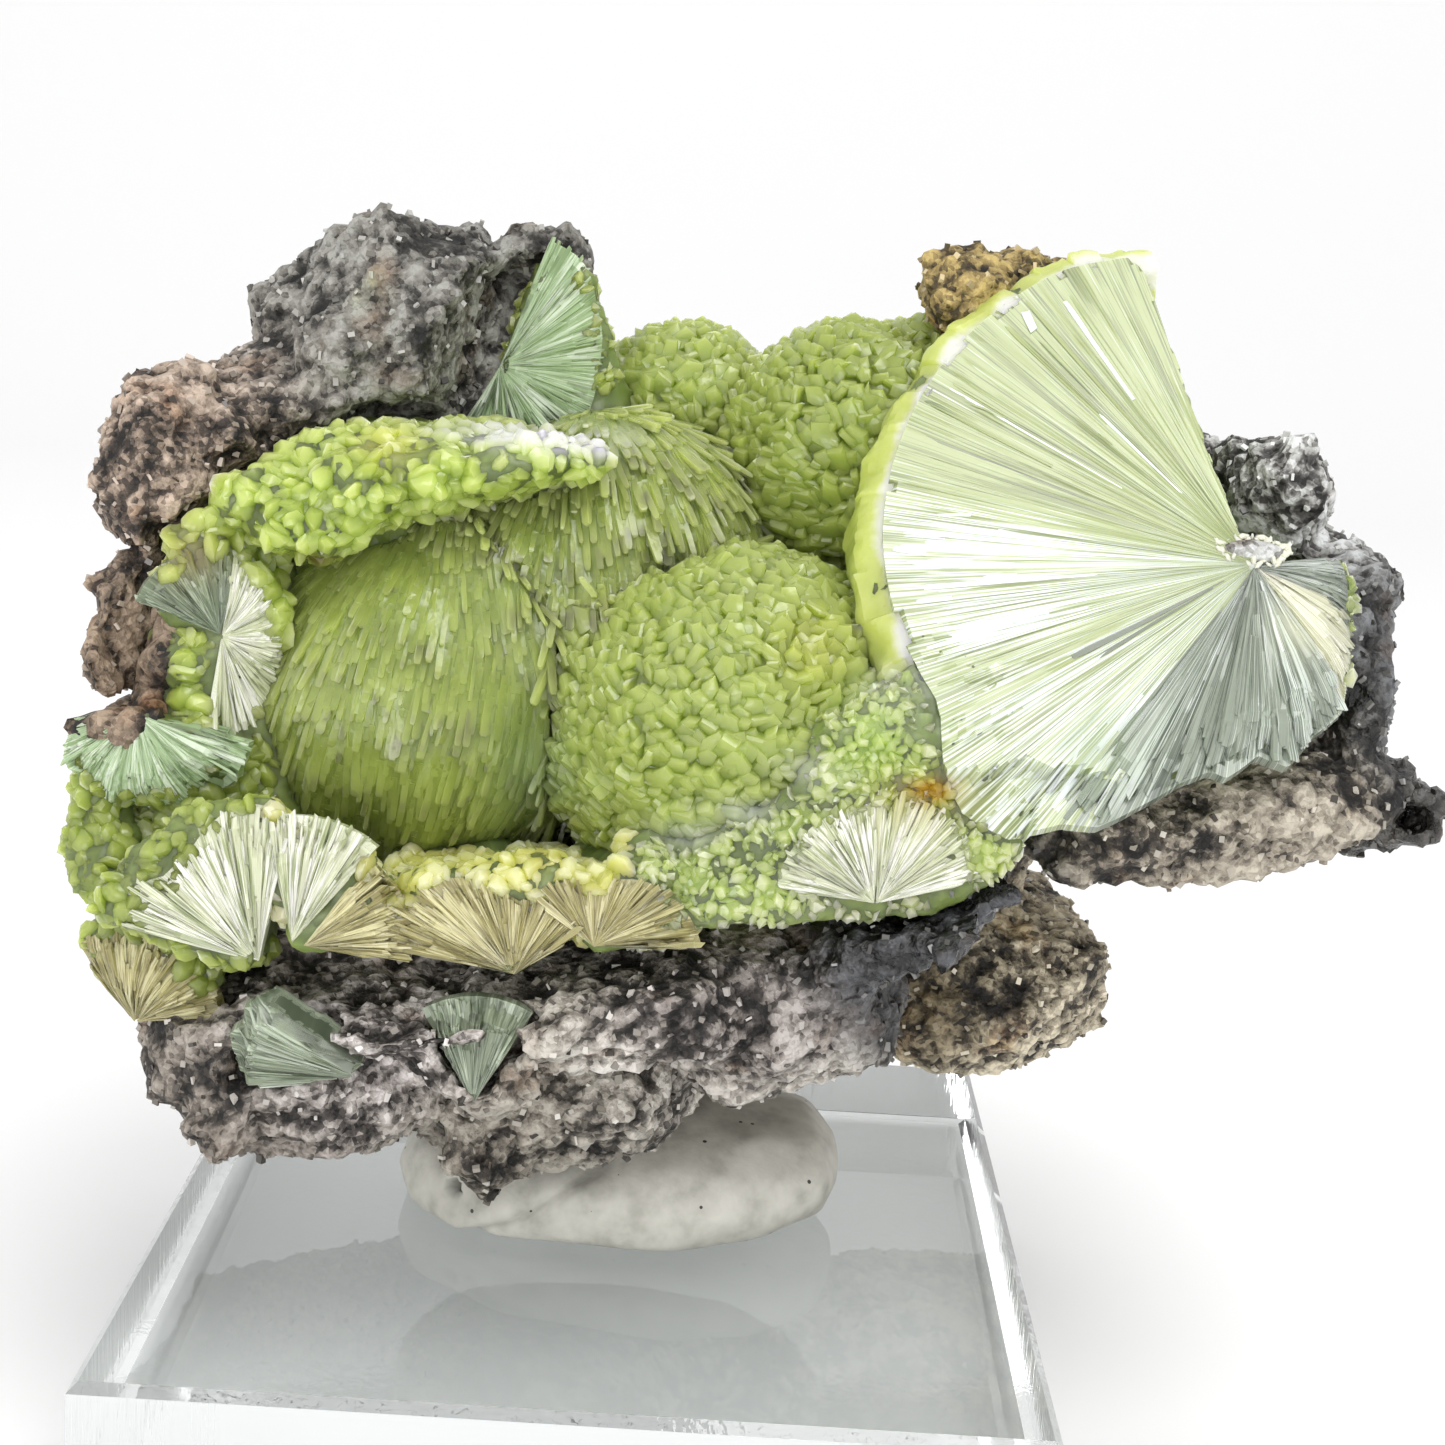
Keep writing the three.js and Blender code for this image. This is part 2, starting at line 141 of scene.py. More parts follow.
def start_tree(name, **inputs):
    """A geometry tree with named inputs, given as (socket type, default)."""
    tree = bpy.data.node_groups.new(name, "GeometryNodeTree")
    tree.interface.new_socket("Geometry", in_out="INPUT", socket_type="NodeSocketGeometry")
    tree.interface.new_socket("Geometry", in_out="OUTPUT", socket_type="NodeSocketGeometry")
    for label, (kind, default) in inputs.items():
        socket = tree.interface.new_socket(label.replace("_", " "), in_out="INPUT", socket_type=kind)
        if default is not None:
            socket.default_value = default
    return tree, tree.nodes.new("NodeGroupInput").outputs


def end_tree(tree, shape, material):
    """Ends a tree: its instances are made real and take the piece's material."""
    real = add(tree, "GeometryNodeRealizeInstances", {"Geometry": shape}).outputs[0]
    coloured = add(tree, "GeometryNodeSetMaterial", {"Geometry": real, "Material": material}).outputs[0]
    add(tree, "NodeGroupOutput", {"Geometry": coloured})


def settle(piece):
    """Turns a piece with its modifiers into a plain mesh."""
    depsgraph = bpy.context.evaluated_depsgraph_get()
    mesh = bpy.data.meshes.new_from_object(piece.evaluated_get(depsgraph), depsgraph=depsgraph)
    piece.modifiers.clear()
    piece.data = mesh
    return piece


def grow(piece, tree, **values):
    """Runs a geometry tree on a piece with its inputs set, and keeps the result as its mesh."""
    modifier = piece.modifiers.new(tree.name, "NODES")
    modifier.node_group = tree
    for socket in tree.interface.items_tree:
        label = socket.name.replace(" ", "_")
        if socket.in_out == "INPUT" and label in values:
            modifier[socket.identifier] = values[label]
    return settle(piece)


def new_piece(name, mesh):
    piece = bpy.data.objects.new(name, mesh)
    bpy.context.scene.collection.objects.link(piece)
    return piece


def merged_copy(node, name):
    """A copy of a solid's mesh with its loose triangles merged."""
    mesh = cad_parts[node].data.copy()
    mesh.materials.clear()
    faces = bmesh.new()
    faces.from_mesh(mesh)
    bmesh.ops.remove_doubles(faces, verts=faces.verts, dist=1e-3 * MM)
    faces.to_mesh(mesh)
    faces.free()
    return new_piece(name, mesh)


def remeshed(piece, voxel, smooth=0):
    remesh = piece.modifiers.new("voxels", "REMESH")
    remesh.mode = "VOXEL"
    remesh.voxel_size = voxel
    if smooth:
        soften = piece.modifiers.new("soften", "SMOOTH")
        soften.iterations = smooth
    return settle(piece)


def finish_piece(piece, node, crisp=None):
    """Shades a piece smooth, but for edges sharper than an angle in degrees, and files it."""
    piece.data.polygons.foreach_set("use_smooth", [True] * len(piece.data.polygons))
    if crisp:
        piece.data.set_sharp_from_angle(angle=math.radians(crisp))
    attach(piece, "root")
    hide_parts(node)
    return piece


def points_of(mesh):
    """The corners of a mesh, in mm."""
    flat = np.empty(len(mesh.vertices) * 3)
    mesh.vertices.foreach_get("co", flat)
    return flat.reshape(-1, 3) / MM


FLOAT = "NodeSocketFloat"
relief, given = start_tree(
    "rock relief",
    Ledge_size=(FLOAT, 4.2 * MM), Ledge_height=(FLOAT, 0.8 * MM),
    Knob_size=(FLOAT, 1.0 * MM), Knob_height=(FLOAT, 0.6 * MM),
    Grain_size=(FLOAT, 0.55 * MM), Grain_height=(FLOAT, 0.3 * MM),
    Material=("NodeSocketMaterial", None),
)
spot = add(relief, "GeometryNodeInputPosition").outputs[0]
normal = add(relief, "GeometryNodeInputNormal").outputs[0]
heights = {}
total = None
for label, texture, output, middle in (
    ("Ledge", "ShaderNodeTexNoise", "Fac", 0.5),
    ("Knob", "ShaderNodeTexVoronoi", "Distance", 0.5),
    ("Grain", "ShaderNodeTexVoronoi", "Distance", 0.5),
):
    scale = reckon(relief, "DIVIDE", 1.0, given[f"{label} size"])
    pattern = add(relief, texture, {"Vector": spot, "Scale": scale}).outputs[output]
    centred = reckon(relief, "SUBTRACT", middle, pattern)
    height = given[f"{label} height"]
    height = reckon(relief, "MULTIPLY", centred, height)
    heights[label] = height
    total = height if total is None else reckon(relief, "ADD", total, height)
offset = scaled(relief, normal, total)
knobs = reckon(relief, "ADD", heights["Knob"], heights["Grain"])
knobs = reckon(relief, "DIVIDE", knobs, MM)
marked = store(relief, given["Geometry"], "height", knobs, "POINT")
moved = add(relief, "GeometryNodeSetPosition", {"Geometry": marked, "Offset": offset}).outputs[0]
end_tree(relief, moved, given["Material"])

# Grey siliceous rock, broken: sugary grains on dark pits, so it reads as crumbly rather than as one
# grey. The knobs are light and the pits nearly black: partly the pale grains and the dark mass,
# partly painted light and shade by height. Rust lies where iron has weathered.
rock_stone, nodes, shader = start_material("broken siliceous rock")
place = add(nodes, "ShaderNodeTexCoord").outputs["Object"]
grains = cells(nodes, place, 0.26)["Color"]
grain = add(nodes, "ShaderNodeSeparateColor", {"Color": grains}).outputs[0]
cloud = clouds(nodes, place, 1.6, 8, Roughness=0.75)
height = stored(nodes, "height")
# painted light and shade: the colour follows the relief's height, knobs lighter and pits darker
rise = reckon(nodes, "MULTIPLY_ADD", height, 0.9, cloud)
rise = reckon(nodes, "MULTIPLY_ADD", grain, 0.22, rise)
patch = clouds(nodes, place, 5.0, 4)
patch = reckon(nodes, "SUBTRACT", patch, 0.5)
rise = reckon(nodes, "MULTIPLY_ADD", patch, 0.9, rise)
shade = ramp(nodes, rise, (0.34, "#181614"), (0.5, "#5c5854"), (0.64, "#b4b0aa"), (0.84, "#f4f2ee"))
cast = stored(nodes, "cast", "Color")
stone = mixed(nodes, 1.0, shade, cast, "MULTIPLY")
seep = clouds(nodes, place, 3.4, 6)
seep = spread(nodes, seep, 0.58, 0.74, 0.0, 0.75)
stone = mixed(nodes, seep, stone, linear("#8c5c24"), "SOFT_LIGHT")
nodes.links.new(stone, shader.inputs["Base Color"])
dull = spread(nodes, cast, 0.08, 0.4, 0.22, 0.7)
nodes.links.new(dull, shader.inputs["Roughness"])
fine = clouds(nodes, place, 0.2, 3)
chip = cells(nodes, place, 0.5)["Distance"]
roughen(nodes, shader, (fine, 0.15, 0.8), (chip, 0.25, 0.8))

# The rock's colour changes over the specimen. Each spot has its place and reach in mm, and a colour.
# Most are the rock's own tints. Two are painted light: the spot under the rim fans lifts their
# shade, and the one at the top right lightens the glassy rock for its glints, a painted highlight.
ROCK_TINTS_AND_PAINTED_LIGHT = (
    ((-10.9, 3, 50), 8, "#a8a8a4"), ((-20.6, -1, 44), 6, "#d4c0b0"), ((-20, -3, 36), 6, "#b09c88"),
    # painted light: the spot at (-10, -12, 23) lightens the rock in the shade under the rim fans
    ((-16, -8, 20), 9, "#aca49c"), ((-10, -12, 23), 4.5, "#fcf6f8"), ((-3, -10, 17), 6, "#bcb6ac"),
    ((4, -10, 20), 6, "#e8e4de"), ((5, -12, 24), 4, "#b8b0b0"), ((12.6, -11.5, 28.5), 4.6, "#54565c"),
    ((17, 4, 20.6), 8, "#f4ead2"), ((15, -2, 21), 3, "#8a7850"), ((32.2, -1, 39), 5, "#6a6e74"),
    # painted highlight: the spot at (28.8, 2, 45) lightens the dark glassy rock for its glints
    ((28.8, 2, 45), 6, "#f8fcff"), ((25.6, -4, 32.8), 6, "#ccc4b6"), ((34.5, -3, 32.6), 3, "#545250"),
    ((16.4, 7, 53.4), 3.6, "#d0b878"), ((-9.6, -15.3, 25), 0.9, "#c87818"),
    ((12.6, -3, 21.4), 1.4, "#b07810"), ((-8.5, -3, 56), 1.5, "#d0c490"),
    ((-12.6, -2, 53), 1.2, "#a8b060"), ((1.0, -14, 21.4), 1.6, "#fcf8f4"),
)


def rock_cast(skin):
    """The rock's colour at points, its tints and some painted light, mixed from that of the named spots by
    closeness.
    """
    weights, total = np.zeros((len(skin), 1)), np.zeros((len(skin), 3))
    for centre, reach, code in ROCK_TINTS_AND_PAINTED_LIGHT:
        near = np.exp(-(np.linalg.norm(skin - centre, axis=1) / reach) ** 2 * 2)[:, None] / reach + 1e-9
        weights += near
        total += near * np.array(linear(code)[:3])
    return np.hstack((total / weights, np.ones((len(skin), 1))))


def keep_cast(mesh):
    """Stores the rock's colour, with its painted light, at the corners of a mesh."""
    colours = rock_cast(points_of(mesh))
    mesh.attributes.new("cast", "FLOAT_COLOR", "POINT").data.foreach_set("color", colours.ravel())


rock = remeshed(merged_copy("matrix_rock", "broken_rock"), ROCK_VOXEL)
grow(rock, relief, Material=rock_stone)
keep_cast(rock.data)
finish_piece(rock, "matrix_rock")

# Quartz grains: glassy, pale grains of the rock itself, 0.1 to 0.4 mm across. They stand out of the
# broken surface where the softer mass between them fell away, and are sunk in it by half.
scatter, given = start_tree(
    "quartz grains", Spacing=(FLOAT, 0.7 * MM), Smallest=(FLOAT, 0.1), Largest=(FLOAT, 0.34),
    Seed=("NodeSocketInt", 0), Material=("NodeSocketMaterial", None),
)
square = reckon(scatter, "POWER", given["Spacing"], -2.0)
spots = add(
    scatter, "GeometryNodeDistributePointsOnFaces",
    {"Mesh": given["Geometry"], "Distance Min": given["Spacing"], "Density Max": square,
     "Seed": given["Seed"]},
    distribute_method="POISSON",
).outputs["Points"]
cube = add(scatter, "GeometryNodeMeshCube", {"Size": (1.2 * MM, 1.0 * MM, 0.8 * MM)}).outputs["Mesh"]
turn = add(scatter, "FunctionNodeRandomValue", {1: (6.28, 6.28, 6.28)}, data_type="FLOAT_VECTOR").outputs[0]
size = add(
    scatter, "FunctionNodeRandomValue", {0: given["Smallest"], 1: given["Largest"], "Seed": 5},
    data_type="FLOAT_VECTOR",
).outputs[0]
turn = add(scatter, "FunctionNodeEulerToRotation", {"Euler": turn}).outputs[0]
grains = add(
    scatter, "GeometryNodeInstanceOnPoints",
    {"Points": spots, "Instance": cube, "Rotation": turn, "Scale": size},
).outputs[0]
tone = add(scatter, "FunctionNodeRandomValue", {"Seed": 3}, data_type="FLOAT").outputs[1]
toned = store(scatter, grains, "tone", tone, "INSTANCE")
end_tree(scatter, toned, given["Material"])

quartz, nodes, shader = start_material("quartz grains", Roughness=0.25, IOR=1.54)
tone = stored(nodes, "tone")
shade = ramp(nodes, tone, (0.1, "#4c4844"), (0.5, "#a8a49c"), (0.95, "#f6f4f0"))
cast = stored(nodes, "cast", "Color")
tint = mixed(nodes, 0.8, shade, cast, "MULTIPLY")
nodes.links.new(tint, shader.inputs["Base Color"])
grains = grow(new_piece("quartz_grains", rock.data.copy()), scatter, Material=quartz)
grains.data.attributes.remove(grains.data.attributes["cast"])
keep_cast(grains.data)
finish_piece(grains, "matrix_rock", crisp=10)

# Wavellite crust body: the mass of grown-together crystals that lines the pocket. It is what shows
# between the coats of crystal ends and the cut fans, which are made on it piece by piece below.
VECTOR = "NodeSocketVector"
BALLS = {
    "silky": ((-9.3, 1.0, 34.4), 8.6),
    "shoulder": ((-1.0, 3.0, 40.6), 7.1),
    "middle": ((5.3, -3.0, 34.2), 8.2),
    "rear": ((9.8, 6.0, 45.8), 6.2),
    "rear top": ((13.2, 7.0, 48.2), 4.2),
    "skyline": ((1.8, 9.0, 46.8), 4.5),
    "left": ((-20.0, -4.0, 27.6), 3.8),
}
SLICE = {
    "at": (26.6, -6.0, 43.7), "facing": (0, -0.81, 0.586), "radius": 17.2, "arc": (106.5, 372),
    "reach": (
        (106.5, 0.97), (120, 1), (180, 0.97), (197, 0.95), (211, 0.93), (224, 0.98), (231, 0.94),
        (236, 0.84), (241, 0.8), (246, 0.7), (252, 0.6), (258, 0.55), (262, 0.56), (270, 0.49),
        (278, 0.52), (288, 0.45), (300, 0.42), (310, 0.35), (322, 0.31), (335, 0.25), (350, 0.24),
        (372, 0.22),
    ),
}
LEFT, FRONT, RIM = (0.3, -0.95, 0), (0, -0.97, 0.2), (0, -0.94, 0.34)
CORNER, RIGHT = (-0.2, -0.97, 0.1), (0.05, -0.95, 0.3)
FANS = {
    "top": {
        "at": (-6.7, 3.2, 49.4), "facing": (0.1, -0.98, 0.15), "radius": 6.2, "arc": (-120, 70),
        "reach": ((-120, 0.8), (0, 0.72), (35, 0.85), (55, 1)),
    },
    "left upper": {
        "at": (-16.9, -7.5, 38.1), "facing": LEFT, "radius": 4.4, "arc": (-98, 82),
        "reach": ((-98, 1), (-60, 0.9), (-20, 0.6), (20, 0.55), (60, 0.75), (82, 0.88)),
    },
    "left dark": {"at": (-17.0, -7.4, 38.2), "facing": LEFT, "radius": 3.7, "arc": (80, 158)},
    "left hanging": {
        "at": (-20.1, -9.1, 34.9), "facing": (-0.1, -0.99, 0.1), "radius": 4.8, "arc": (190, 350),
        "reach": ((190, 0.6), (215, 0.85), (290, 0.85), (330, 1)),
    },
    "front": {
        "at": (-13.9, -14.1, 26.1), "facing": FRONT, "radius": 6.9, "arc": (80, 168),
        "reach": ((80, 0.88), (100, 0.95), (112, 0.86), (125, 0.76), (140, 0.74), (152, 0.85), (168, 0.8)),
    },
    "front right": {"at": (-12.5, -14.1, 27.0), "facing": FRONT, "radius": 5.2, "arc": (52, 104)},
    "front low": {"at": (-12.0, -14.1, 26.9), "facing": FRONT, "radius": 4.3, "arc": (-6, 54)},
    "corner": {"at": (-19.6, -12.2, 22.3), "facing": CORNER, "radius": 4.0, "arc": (58, 132)},
    "corner right": {"at": (-19.5, -12.2, 22.3), "facing": CORNER, "radius": 3.8, "arc": (12, 60)},
    "rim left": {
        "at": (-3.4, -14.1, 26.3), "facing": RIM, "radius": 5.8, "arc": (36, 172),
        "reach": ((36, 0.6), (90, 0.5), (120, 0.75), (150, 1)),
    },
    "rim middle": {
        "at": (-0.2, -14.1, 27.7), "facing": RIM, "radius": 4.4, "arc": (4, 146),
        "reach": ((4, 1), (40, 0.85), (90, 0.55), (146, 0.75)),
    },
    "rim right": {"at": (11.1, -13.5, 30.1), "facing": RIGHT, "radius": 4.0, "arc": (90, 174)},
    "rim far right": {"at": (11.2, -13.5, 30.1), "facing": RIGHT, "radius": 4.6, "arc": (16, 92)},
}
crust = remeshed(merged_copy("wavellite_crust", "crust_body"), 0.36 * MM, smooth=6)


def fan_basis(fan):
    """The nucleus and the right, up and outward directions of a fan's cut face."""
    outward = np.array(fan["facing"]) / np.linalg.norm(fan["facing"])
    right = np.cross((0, 0, 1), outward)
    right /= np.linalg.norm(right)
    return np.array(fan["at"]), right, np.cross(outward, right), outward


def fan_place(fan, points):
    """Where points lie on a fan: distance from the nucleus along the cut, angle, height above it."""
    at, right, up, outward = fan_basis(fan)
    offset = points - at
    x, y = offset @ right, offset @ up
    angle = (np.degrees(np.arctan2(y, x)) - fan["arc"][0]) % 360 + fan["arc"][0]
    return np.hypot(x, y), angle, offset @ outward


def fan_reach(fan, angle):
    """The radius that a fan has at an angle, in mm."""
    places, shares = zip(*fan.get("reach", ((-360, 1), (720, 1))))
    return fan["radius"] * np.interp(angle, places, shares)


def surface_of(body):
    """A body's surface, to find the nearest point on it or what a ray meets."""
    mesh = body.data
    corners = [corner.co for corner in mesh.vertices]
    return BVHTree.FromPolygons(corners, [tuple(face.vertices) for face in mesh.polygons])


# The crust's balls are drawn in by a little, so that their coats of crystals lie over them. Its skin is
# then sorted by place, in mm, into what is bare, on a cut face, on the slope, the flank or the ledge.
COAT, FACE_EDGE = 0.35, 0.8
skin = points_of(crust.data)
on_ball = np.zeros(len(skin), bool)
for centre, radius in BALLS.values():
    far = np.linalg.norm(skin - centre, axis=1)
    near = np.abs(far - radius) < 0.7
    on_ball |= near
    for n in np.flatnonzero(near & (far > radius - COAT)):
        crust.data.vertices[n].co = Vector(centre + (skin[n] - centre) * (radius - COAT) / far[n]) * MM
on_face = np.zeros(len(skin), bool)
for fan in [SLICE, *FANS.values()]:
    out, angle, height = fan_place(fan, skin)
    within = (out < fan_reach(fan, angle) - FACE_EDGE) & (angle < fan["arc"][1])
    on_face |= (np.abs(height) < FACE_EDGE) & within
out, angle, height = fan_place(SLICE, skin)
on_slice = (out < fan_reach(SLICE, angle) + FACE_EDGE) & (np.abs(height + 3) < 3.6) & (angle < 235)
rock_surface = surface_of(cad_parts["matrix_rock"])
in_air = np.array([
    rock_surface.ray_cast(corner.co - corner.normal * 0.3 * MM, corner.normal, 1.6 * MM)[0] is None
    for corner in crust.data.vertices
])
bare = ~on_ball & ~on_face & in_air
over_slice = (out < fan_reach(SLICE, angle) - 0.2) & (height > -2.5)
flush = over_slice & (height > 0.2) & (angle < 262)
for corner, low in zip(crust.data.vertices, np.where(flush, height - 0.2, 0)):
    corner.co -= Vector(fan_basis(SLICE)[3]) * low * MM
on_slope = bare & ~over_slice & (skin[:, 0] > 1) & (skin[:, 2] < 44) & (skin[:, 1] < -3)
on_flank = (skin[:, 0] < -19.2) & (np.abs(skin[:, 2] - 36.2) < 2.6)
on_ledge = bare & ~on_slice & ~on_flank & (skin[:, 0] < 1) & (skin[:, 1] < 6)


# Stains, pale patches and dark spots, each with its place and reach in mm, its colour and strength.
STAINS = (
    ((-3.6, -7.2, 31.9), (1.6, 3, 3.0), "#7c9a74", 0.55), ((-6.6, -4, 47.3), (2.2, 3, 0.5), "#e8ecd8", 0.9),
    ((-3.4, -4, 47.3), (2.4, 3, 0.7), "#f0f2e4", 1.0), ((-1.0, -4, 47.0), (1.4, 3, 0.5), "#e8ecd8", 0.8),
    ((-10.4, -5, 46.4), (1.3, 2, 1.0), "#c8cc60", 0.8), ((13.1, -11, 34.6), (1.0, 3, 0.5), "#a06c10", 1.0),
    ((12.6, -11, 34.2), (2.2, 3, 1.1), "#a8a038", 0.55), ((-2.5, -9, 30.6), (1.0, 3, 0.7), "#8a6c18", 0.8),
    ((1.6, -10, 30.4), (1.0, 2, 0.5), "#d8e0c0", 0.7), ((3.4, -10, 31.8), (1.4, 2, 0.6), "#dce4c8", 0.7),
    ((5.6, -10, 33.0), (1.4, 2, 0.6), "#dce4c8", 0.8), ((8.6, -10, 34.9), (1.6, 2, 0.6), "#dce4c8", 0.7),
    ((11.6, -9, 37.6), (1.4, 2, 1.2), "#dce4c8", 0.7), ((8.0, -8, 39.2), (1.8, 3, 1.8), "#b4b440", 0.45),
    ((-18.4, -7, 41.6), (1.4, 3, 1.2), "#8c7c40", 0.6), ((-13.2, -6, 41.4), (1.0, 2, 0.6), "#4a3414", 0.9),
    ((19.6, -12, 36.6), (1.6, 3, 1.6), "#7c9060", 0.5), ((28.4, -8, 41.6), (1.2, 2, 1.0), "#d8d8b8", 0.6),
    ((-4.6, -2.4, 39.6), (1.6, 3, 2.6), "#6c8a54", 0.4), ((-2.0, 2, 51.4), (1.6, 3, 2.2), "#8aa458", 0.5),
    ((10.7, -9, 36.6), (2.2, 3, 1.3), "#b8d470", 0.7),
    ((24.2, -10, 32.4), (2.4, 3, 1.2), "#3c3a36", 1.0), ((29.6, -6, 35.6), (2.0, 3, 1.6), "#3c3c3c", 1.0),
    ((32.0, -5, 42.0), (1.6, 3, 2.6), "#303236", 1.0),
)


def finish_crystals(piece, crisp=28, node="wavellite_crust"):
    """Stores a wavellite piece's stains and white broken edges, as colour and strength, and files it."""
    spots = points_of(piece.data)
    shade, strength = np.zeros((len(spots), 3)), np.full((len(spots), 1), 1e-6)
    for centre, reach, code, most in STAINS:
        near = most * np.exp(-(((spots - centre) / reach) ** 2).sum(axis=1))[:, None]
        shade += near * np.array(linear(code)[:3])
        strength += near
    colours = np.hstack((shade / strength, strength.clip(0, 1)))
    piece.data.attributes.new("stain", "FLOAT_COLOR", "POINT").data.foreach_set("color", colours.ravel())
    return finish_piece(piece, node, crisp)


coat, given = start_tree(
    "crystal coat",
    Spacing=(FLOAT, 0.7 * MM), Smallest=(FLOAT, 0.8), Largest=(FLOAT, 1.3), Lean=(FLOAT, 0.3),
    Twist=(FLOAT, 3.14), Lay=(FLOAT, 0.0), Lift=(FLOAT, 0.3), Sink=(FLOAT, 0.0), Nucleus=(VECTOR, None),
    Crystal=("NodeSocketObject", None), Seed=("NodeSocketInt", 0), Material=("NodeSocketMaterial", None),
)
growing = add(coat, "GeometryNodeInputNamedAttribute", {"Name": "bare"}, data_type="BOOLEAN").outputs[0]
square = reckon(coat, "POWER", given["Spacing"], -2.0)
seeds = add(
    coat, "GeometryNodeDistributePointsOnFaces",
    {"Mesh": given["Geometry"], "Selection": growing, "Distance Min": given["Spacing"],
     "Density Max": square, "Seed": given["Seed"]},
    distribute_method="POISSON",
)
face = seeds.outputs["Normal"]
spot = add(coat, "GeometryNodeInputPosition").outputs[0]
ray = add(coat, "ShaderNodeVectorMath", {0: spot, 1: given["Nucleus"]}, operation="SUBTRACT").outputs[0]
away = add(coat, "ShaderNodeVectorMath", {0: ray, 1: face}, operation="DOT_PRODUCT").outputs["Value"]
sunk = scaled(coat, face, away)
along = add(coat, "ShaderNodeVectorMath", {0: ray, 1: sunk}, operation="SUBTRACT").outputs[0]
along = add(coat, "ShaderNodeVectorMath", {0: along}, operation="NORMALIZE").outputs[0]
lifted = scaled(coat, face, given["Lift"])
laid = add(coat, "ShaderNodeVectorMath", {0: along, 1: lifted}, operation="ADD").outputs[0]
point = add(
    coat, "ShaderNodeMix", {"Factor": given["Lay"], 4: face, 5: laid}, data_type="VECTOR",
).outputs[1]
stand = add(coat, "FunctionNodeAlignRotationToVector", {"Vector": point}, axis="Z").outputs[0]
stand = add(
    coat, "FunctionNodeAlignRotationToVector", {"Rotation": stand, "Vector": face},
    axis="Y", pivot_axis="Z",
).outputs[0]
bow, spin = (
    reckon(coat, "MULTIPLY", given[label], -1.0)
    for label in ("Lean", "Twist")
)
least = add(coat, "ShaderNodeCombineXYZ", {0: bow, 1: bow, 2: spin}).outputs[0]
most = add(coat, "ShaderNodeCombineXYZ", {0: given["Lean"], 1: given["Lean"], 2: given["Twist"]}).outputs[0]
sway = add(
    coat, "FunctionNodeRandomValue", {0: least, 1: most, "Seed": given["Seed"]}, data_type="FLOAT_VECTOR",
).outputs[0]
sway = add(coat, "FunctionNodeEulerToRotation", {"Euler": sway}).outputs[0]
stand = add(
    coat, "FunctionNodeRotateRotation", {"Rotation": stand, "Rotate By": sway}, rotation_space="LOCAL",
).outputs[0]
size = add(
    coat, "FunctionNodeRandomValue", {0: given["Smallest"], 1: given["Largest"], "Seed": 7},
    data_type="FLOAT_VECTOR",
).outputs[0]
down = reckon(coat, "MULTIPLY", given["Sink"], -1.0)
down = scaled(coat, face, down)
roots = add(coat, "GeometryNodeSetPosition", {"Geometry": seeds.outputs["Points"], "Offset": down}).outputs[0]
shape = add(coat, "GeometryNodeObjectInfo", {"Object": given["Crystal"]}).outputs["Geometry"]
crystals = add(
    coat, "GeometryNodeInstanceOnPoints",
    {"Points": roots, "Instance": shape, "Rotation": stand, "Scale": size},
).outputs[0]
fused = add(
    coat, "GeometryNodeMeshBoolean", {"Mesh 2": [given["Geometry"], crystals]},
    operation="UNION", solver="MANIFOLD",
).outputs[0]
tone = add(coat, "FunctionNodeRandomValue", {"Seed": 3}, data_type="FLOAT").outputs[1]
toned = store(coat, crystals, "tone", tone, "INSTANCE")
loose = add(coat, "GeometryNodeRealizeInstances", {"Geometry": toned}).outputs[0]
own = add(coat, "GeometryNodeInputNamedAttribute", {"Name": "tone"}, data_type="FLOAT").outputs[0]
nearest = add(
    coat, "GeometryNodeSampleNearestSurface", {"Mesh": loose, "Value": own}, data_type="FLOAT",
).outputs[0]
shaded = store(coat, fused, "tone", nearest, "FACE")
gap = add(coat, "GeometryNodeProximity", {0: given["Geometry"]}, target_element="FACES").outputs["Distance"]
gap = reckon(coat, "DIVIDE", gap, MM)
raised = store(coat, shaded, "height", gap, "POINT")
end_tree(coat, raised, given["Material"])


def keep(mesh, name, values, kind="FLOAT"):
    """Stores one value for each corner of a mesh."""
    mesh.attributes.new(name, kind, "POINT").data.foreach_set("value", values)


def grown_together(name, mesh, mask, **values):
    """Crystals on the masked part of a closed mesh, grown together with it into one skin."""
    piece = new_piece(name, mesh)
    keep(mesh, "bare", mask, "BOOLEAN")
    return finish_crystals(grow(piece, coat, Seed=len(name), **values))


def stained(nodes, tint):
    """Lays a piece's stains over a colour."""
    stain = add(nodes, "ShaderNodeAttribute", attribute_name="stain").outputs
    return mixed(nodes, stain["Alpha"], tint, stain["Color"])


def wavellite(name, deep, middle, tip, **sockets):
    """Wavellite: translucent and glassy. Gaps between crystals are deep green and their ends paler, partly
    the deeper colour of thicker crystal and partly painted shade in the gaps and painted light at the ends.
    """
    material, nodes, shader = start_material(
        name, IOR=1.53, Subsurface_Weight=1.0, Subsurface_Scale=3.0 * MM, **sockets,
    )
    shader.inputs["Subsurface Radius"].default_value = (1.0, 1.1, 0.6)
    place = add(nodes, "ShaderNodeTexCoord").outputs["Object"]
    cloud = clouds(nodes, place, 2.5, 5)
    tone = stored(nodes, "tone")
    height = stored(nodes, "height")
    # painted light and shade: the colour follows each point's height over the ground, darker in the gaps and
    # paler at the crystal ends
    rise = reckon(nodes, "MULTIPLY_ADD", height, 1.0, cloud)
    rise = reckon(nodes, "MULTIPLY_ADD", tone, 0.3, rise)
    tint = ramp(nodes, rise, (0.4, deep), (0.75, middle), (1.1, tip))
    nodes.links.new(stained(nodes, tint), shader.inputs["Base Color"])
    fine = clouds(nodes, place, 0.35, 2)
    roughen(nodes, shader, (fine, 0.06, 0.5))
    return material


